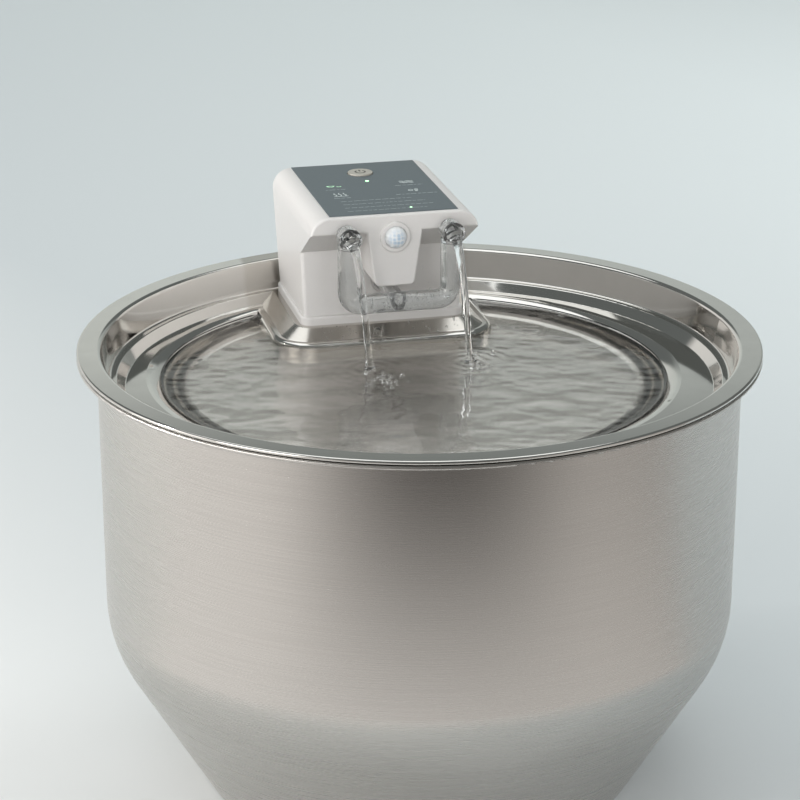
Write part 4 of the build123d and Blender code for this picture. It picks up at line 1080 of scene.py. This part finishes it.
    def jet(self, side: int) -> bpy.types.Object:
        """Make one jet: it fills its spout, leaves level and falls along a parabola.

        Args:
            side: 0 for the left spout, 1 for the right one.

        Returns:
            The new piece.
        """
        start_x = (-self.tube_x, self.tube_x)[side]
        land_x, land_y = self.landings[side]
        inside = np.linspace(self.bore_end_y, self.mouth_y, 8)[:-1]
        still = np.ones(len(inside))
        share = np.linspace(0, 1, 110)
        fall = self.spout_z - self.level - 0.0004 - self.dip        # it stops just above the surface
        x = np.r_[start_x * still, start_x + (land_x - start_x) * share]
        y = np.r_[inside, self.mouth_y + (land_y - self.mouth_y) * share]
        sink = self.dip * np.minimum(share / 0.1, 1)
        z = np.r_[self.spout_z * still, self.spout_z - sink - fall * share ** 2]
        # The water fills the spout's mouth, thins as it falls, swells on its way and spreads at its foot.
        thinned = self.stream * (1 + 1.1 * share) ** -0.55
        filling = (self.mouth - self.stream) * np.exp(-(share / 0.13) ** 1.6)
        swell = 1 + 0.035 * np.sin(share * 31 + side * 2)
        spread = self.foot * np.exp(-(1 - share) / 0.013)
        radii = np.r_[self.mouth * still, (thinned + filling) * swell + spread]
        points, faces = tube_along(np.stack([x, y, z], axis=1), radii, 36, lobes=3, depth=0.09,
                                   twist=1.1 + 0.5 * side)
        piece = self.own(mesh_object(("jet_left", "jet_right")[side], points, faces), "water_divider")
        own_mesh(piece)
        return piece

    def splash(self, side: int) -> bpy.types.Object:
        """Make the foam beads and the few thrown drops of a splash, thickest in its middle.

        Args:
            side: 0 for the left jet, 1 for the right one.

        Returns:
            The new piece.
        """
        random = np.random.default_rng(20 + side)
        middle = np.add(self.landings[side], self.drift[side])
        beads, thrown = 46, 8
        parts = []
        for number in range(beads):
            x, y = middle + random.normal(size=2) * self.scatter
            radius = 0.00028 + 0.00100 * random.random() ** 2
            lift = 0.0015 + 0.004 * random.random() if number < thrown else 0.0
            parts.append(ball((x, y, self.level + radius * 0.55 + lift), radius, 1.15 if lift else 1.0, 12))
        return self.own(joined(("splash_left", "splash_right")[side], parts), "tray")

    def round_pipe(self, x: float, away: float, turn: float) -> tuple[float, float, float]:
        """Turn a place along the cross pipe, a distance from its axis and an angle into a point."""
        return x, self.tube_y + away * math.cos(turn), self.pipe_z + away * math.sin(turn)

    def drops(self) -> list[bpy.types.Object]:
        """Make drops that cling to the pipe, the recess and the platform's slope, and air in the pipe.

        Returns:
            The new pieces.
        """
        random = np.random.default_rng(5)
        outside, inside, wall_y = 0.00455, 0.0026, 0.07135
        slope_y, slope_z, slope_run, slope_height = 0.0667, 0.1914, 0.0073, 0.0048
        on_pipe, in_pipe, on_wall = [], [], []
        for _ in range(70):
            turn, radius = math.radians(random.uniform(-40, 120)), 0.00018 + 0.00055 * random.random() ** 2
            spot = self.round_pipe(random.uniform(-0.016, 0.0265), outside, math.pi - turn)
            on_pipe.append(ball(spot, radius, 1.0, 10))
        for _ in range(90):
            away, turn = inside * math.sqrt(random.random()), random.uniform(0, 2 * math.pi)
            spot = self.round_pipe(random.uniform(-0.0150, 0.0225), away, turn)
            in_pipe.append(ball(spot, 0.00012 + 0.0005 * random.random() ** 3, 1.0, 8))
        for _ in range(60):
            radius = 0.00022 + 0.00055 * random.random() ** 2
            spot = (random.uniform(-0.020, 0.030), wall_y, random.uniform(0.1975, 0.2190))
            on_wall.append(ball(spot, radius, 1.2, 10))
        # Two large drops on the slope have their own places, the rest are scattered.
        slope = [(-0.0046, 0.62, 0.00165), (-0.0172, 0.30, 0.0006)]
        slope += [(random.uniform(-0.030, 0.034), random.random(), 0.0002 + 0.0004 * random.random() ** 2)
                  for _ in range(34)]
        on_slope = [ball((x, slope_y - slope_run * down, slope_z - slope_height * down + radius * 0.3),
                         radius, 1.15 if radius > 0.001 else 0.9, 14) for x, down, radius in slope]
        return [self.own(joined("drops_on_pipe", on_pipe), "water_divider"),
                self.own(joined("air_in_pipe", in_pipe), "water_divider", AIR),
                self.own(joined("drops_on_recess", on_wall), "module"),
                self.own(joined("drops_on_platform", on_slope), "tray")]

    def build(self) -> list[str]:
        """Make all the water.

        Returns:
            Names of the new pieces.
        """
        pieces = [self.pool(), self.fill(), *map(self.jet, (0, 1)), *map(self.splash, (0, 1)), *self.drops()]
        return [piece.name for piece in pieces]


# --- print on the module -------------------------------------------------------------------------
@dataclass
class PanelPrint:
    """Thin ink marks on the panel film and the button: plain symbols, their fine rules, and rows of ticks.

    Attributes:
        film_z: Top of the film in metres.
        left_x: Middle of the left column of symbols.
        right_x: Middle of the right column.
        upper_y: Height of the upper symbols on the panel.
        lower_y: Height of the lower symbols.
        stroke: Width of a symbol's lines.
        ink: Thickness of the ink.
        tick: Width of the fine rules that stand for small print, as a share of its height.
        etch: Width of the mark's lines on the button.
        etch_radius: Radius of that mark.
    """

    film_z: float = 0.2495
    left_x: float = -0.0173
    right_x: float = 0.0175
    upper_y: float = 0.0970
    lower_y: float = 0.0826
    stroke: float = 0.00050
    ink: float = 0.00003
    tick: float = 0.50
    etch: float = 0.0008
    etch_radius: float = 0.0023

    def line(self, x: np.ndarray, y: np.ndarray, level: float, width: float) -> Skin:
        """Make a stroke through points x, y at a level."""
        x, y = np.broadcast_arrays(np.asarray(x, float), np.asarray(y, float))
        return ribbon(np.stack([x, y, np.full(x.shape, level)], axis=1), width, self.ink)

    def arc(self, x: float, y: float, radius: float, start: float, end: float, level: float,
            width: float) -> Skin:
        """Make a stroke along a circle between two angles in degrees."""
        angle = np.radians(np.linspace(start, end, 28))
        return self.line(x + radius * np.cos(angle), y + radius * np.sin(angle), level, width)

    def symbols(self) -> dict[str, tuple[list[Skin], Finish]]:
        """Draw the four mode symbols: a ripple, three jets, a basin and a pair of drops.

        Returns:
            Strokes and finish by the piece's name.
        """
        z, w, wave = self.film_z, self.stroke, np.linspace(0, 1, 24)
        x, y = self.left_x, self.upper_y
        ripple = [self.arc(x - 0.0014, y + 0.0008, 0.0017, 190, 350, z, w),
                  self.arc(x + 0.0024, y, 0.0011, 200, 340, z, w),
                  self.line([x - 0.0032, x + 0.0006], [y + 0.0008] * 2, z, w)]
        y = self.lower_y
        jets = [self.line(x + step + 0.0004 * np.sin(wave * 6.3), y - 0.0022 + 0.0046 * wave, z, w)
                for step in (-0.0022, 0.0, 0.0022)]
        jets.append(self.line([x - 0.0034, x + 0.0034], [y - 0.0030] * 2, z, w))
        x, y = self.right_x, self.upper_y
        basin = [self.line(x - 0.0032 + 0.0064 * wave, y + step + 0.0004 * np.sin(wave * 12.6), z, w)
                 for step in (-0.0011, 0.0003, 0.0017)]
        y = self.lower_y
        drops = [self.arc(x + right, y + up, radius, 0, 340, z, w)
                 for right, up, radius in ((-0.0014, 0.0, 0.0010), (0.0014, 0.0009, 0.0007),
                                           (0.0010, -0.0013, 0.0005))]
        return {"symbol_ripple": (ripple, LIT_INK), "symbol_jets": (jets, PALE_INK),
                "symbol_basin": (basin, PALE_INK), "symbol_drops": (drops, PALE_INK)}

    def ticks(self) -> list[Skin]:
        """Draw rows of short rules: one under each symbol and four across the front of the panel.

        Returns:
            Strokes.
        """
        random = np.random.default_rng(3)
        # Middle, place along, half length and height of each row.
        rows = [(self.left_x, self.upper_y - 0.0058, 0.0048, 0.0010),
                (self.left_x, self.lower_y - 0.0060, 0.0040, 0.0010),
                (self.right_x, self.upper_y - 0.0052, 0.0066, 0.0010),
                (self.right_x, self.lower_y - 0.0060, 0.0096, 0.0011),
                (-0.0030, 0.0706, 0.0165, 0.0009), (-0.0005, 0.0652, 0.0190, 0.0009),
                (0.0005, 0.0596, 0.0205, 0.0009), (-0.0015, 0.0540, 0.0185, 0.0009)]
        strokes = []
        for middle, y, half, tall in rows:
            start = middle - half
            while start < middle + half:
                length = random.uniform(0.0009, 0.0034)
                end = min(start + length, middle + half)
                along = [start, (start + end) / 2, end]
                strokes.append(self.line(along, [y] * 3, self.film_z, tall * self.tick))
                start = end + random.uniform(0.0005, 0.0008)
        return strokes

    def power_mark(self) -> list[Skin]:
        """Draw the open ring and the upright stroke on the button."""
        low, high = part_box("power_button")
        x, y, z = (low[0] + high[0]) / 2, (low[1] + high[1]) / 2, high[2]
        return [self.arc(x, y, self.etch_radius, 125, 415, z, self.etch),
                self.line([x, x], [y + 0.0004, y + 0.0032], z, self.etch)]

    def build(self) -> list[str]:
        """Print the panel and etch the button.

        Returns:
            Names of the new pieces.
        """
        marks = {**self.symbols(), "panel_ticks": (self.ticks(), FAINT_INK),
                 "button_mark": (self.power_mark(), DARK_MARK)}
        for name, (strokes, finish) in marks.items():
            piece = joined(name, strokes, smooth=False)
            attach(piece, "power_button" if name == "button_mark" else "module")
            dress(piece, finish)
        return list(marks)


def main() -> None:
    """Build every part in order."""
    logging.basicConfig(level=logging.INFO, format="%(name)s: %(message)s")
    Studio().build()
    for builder in (STEEL_WARE, PUMP_MODULE, PanelPrint(), Water()):
        for name in builder.build():
            log.info("%s: %s", type(builder).__name__, name)


if __name__ == "__main__":
    main()
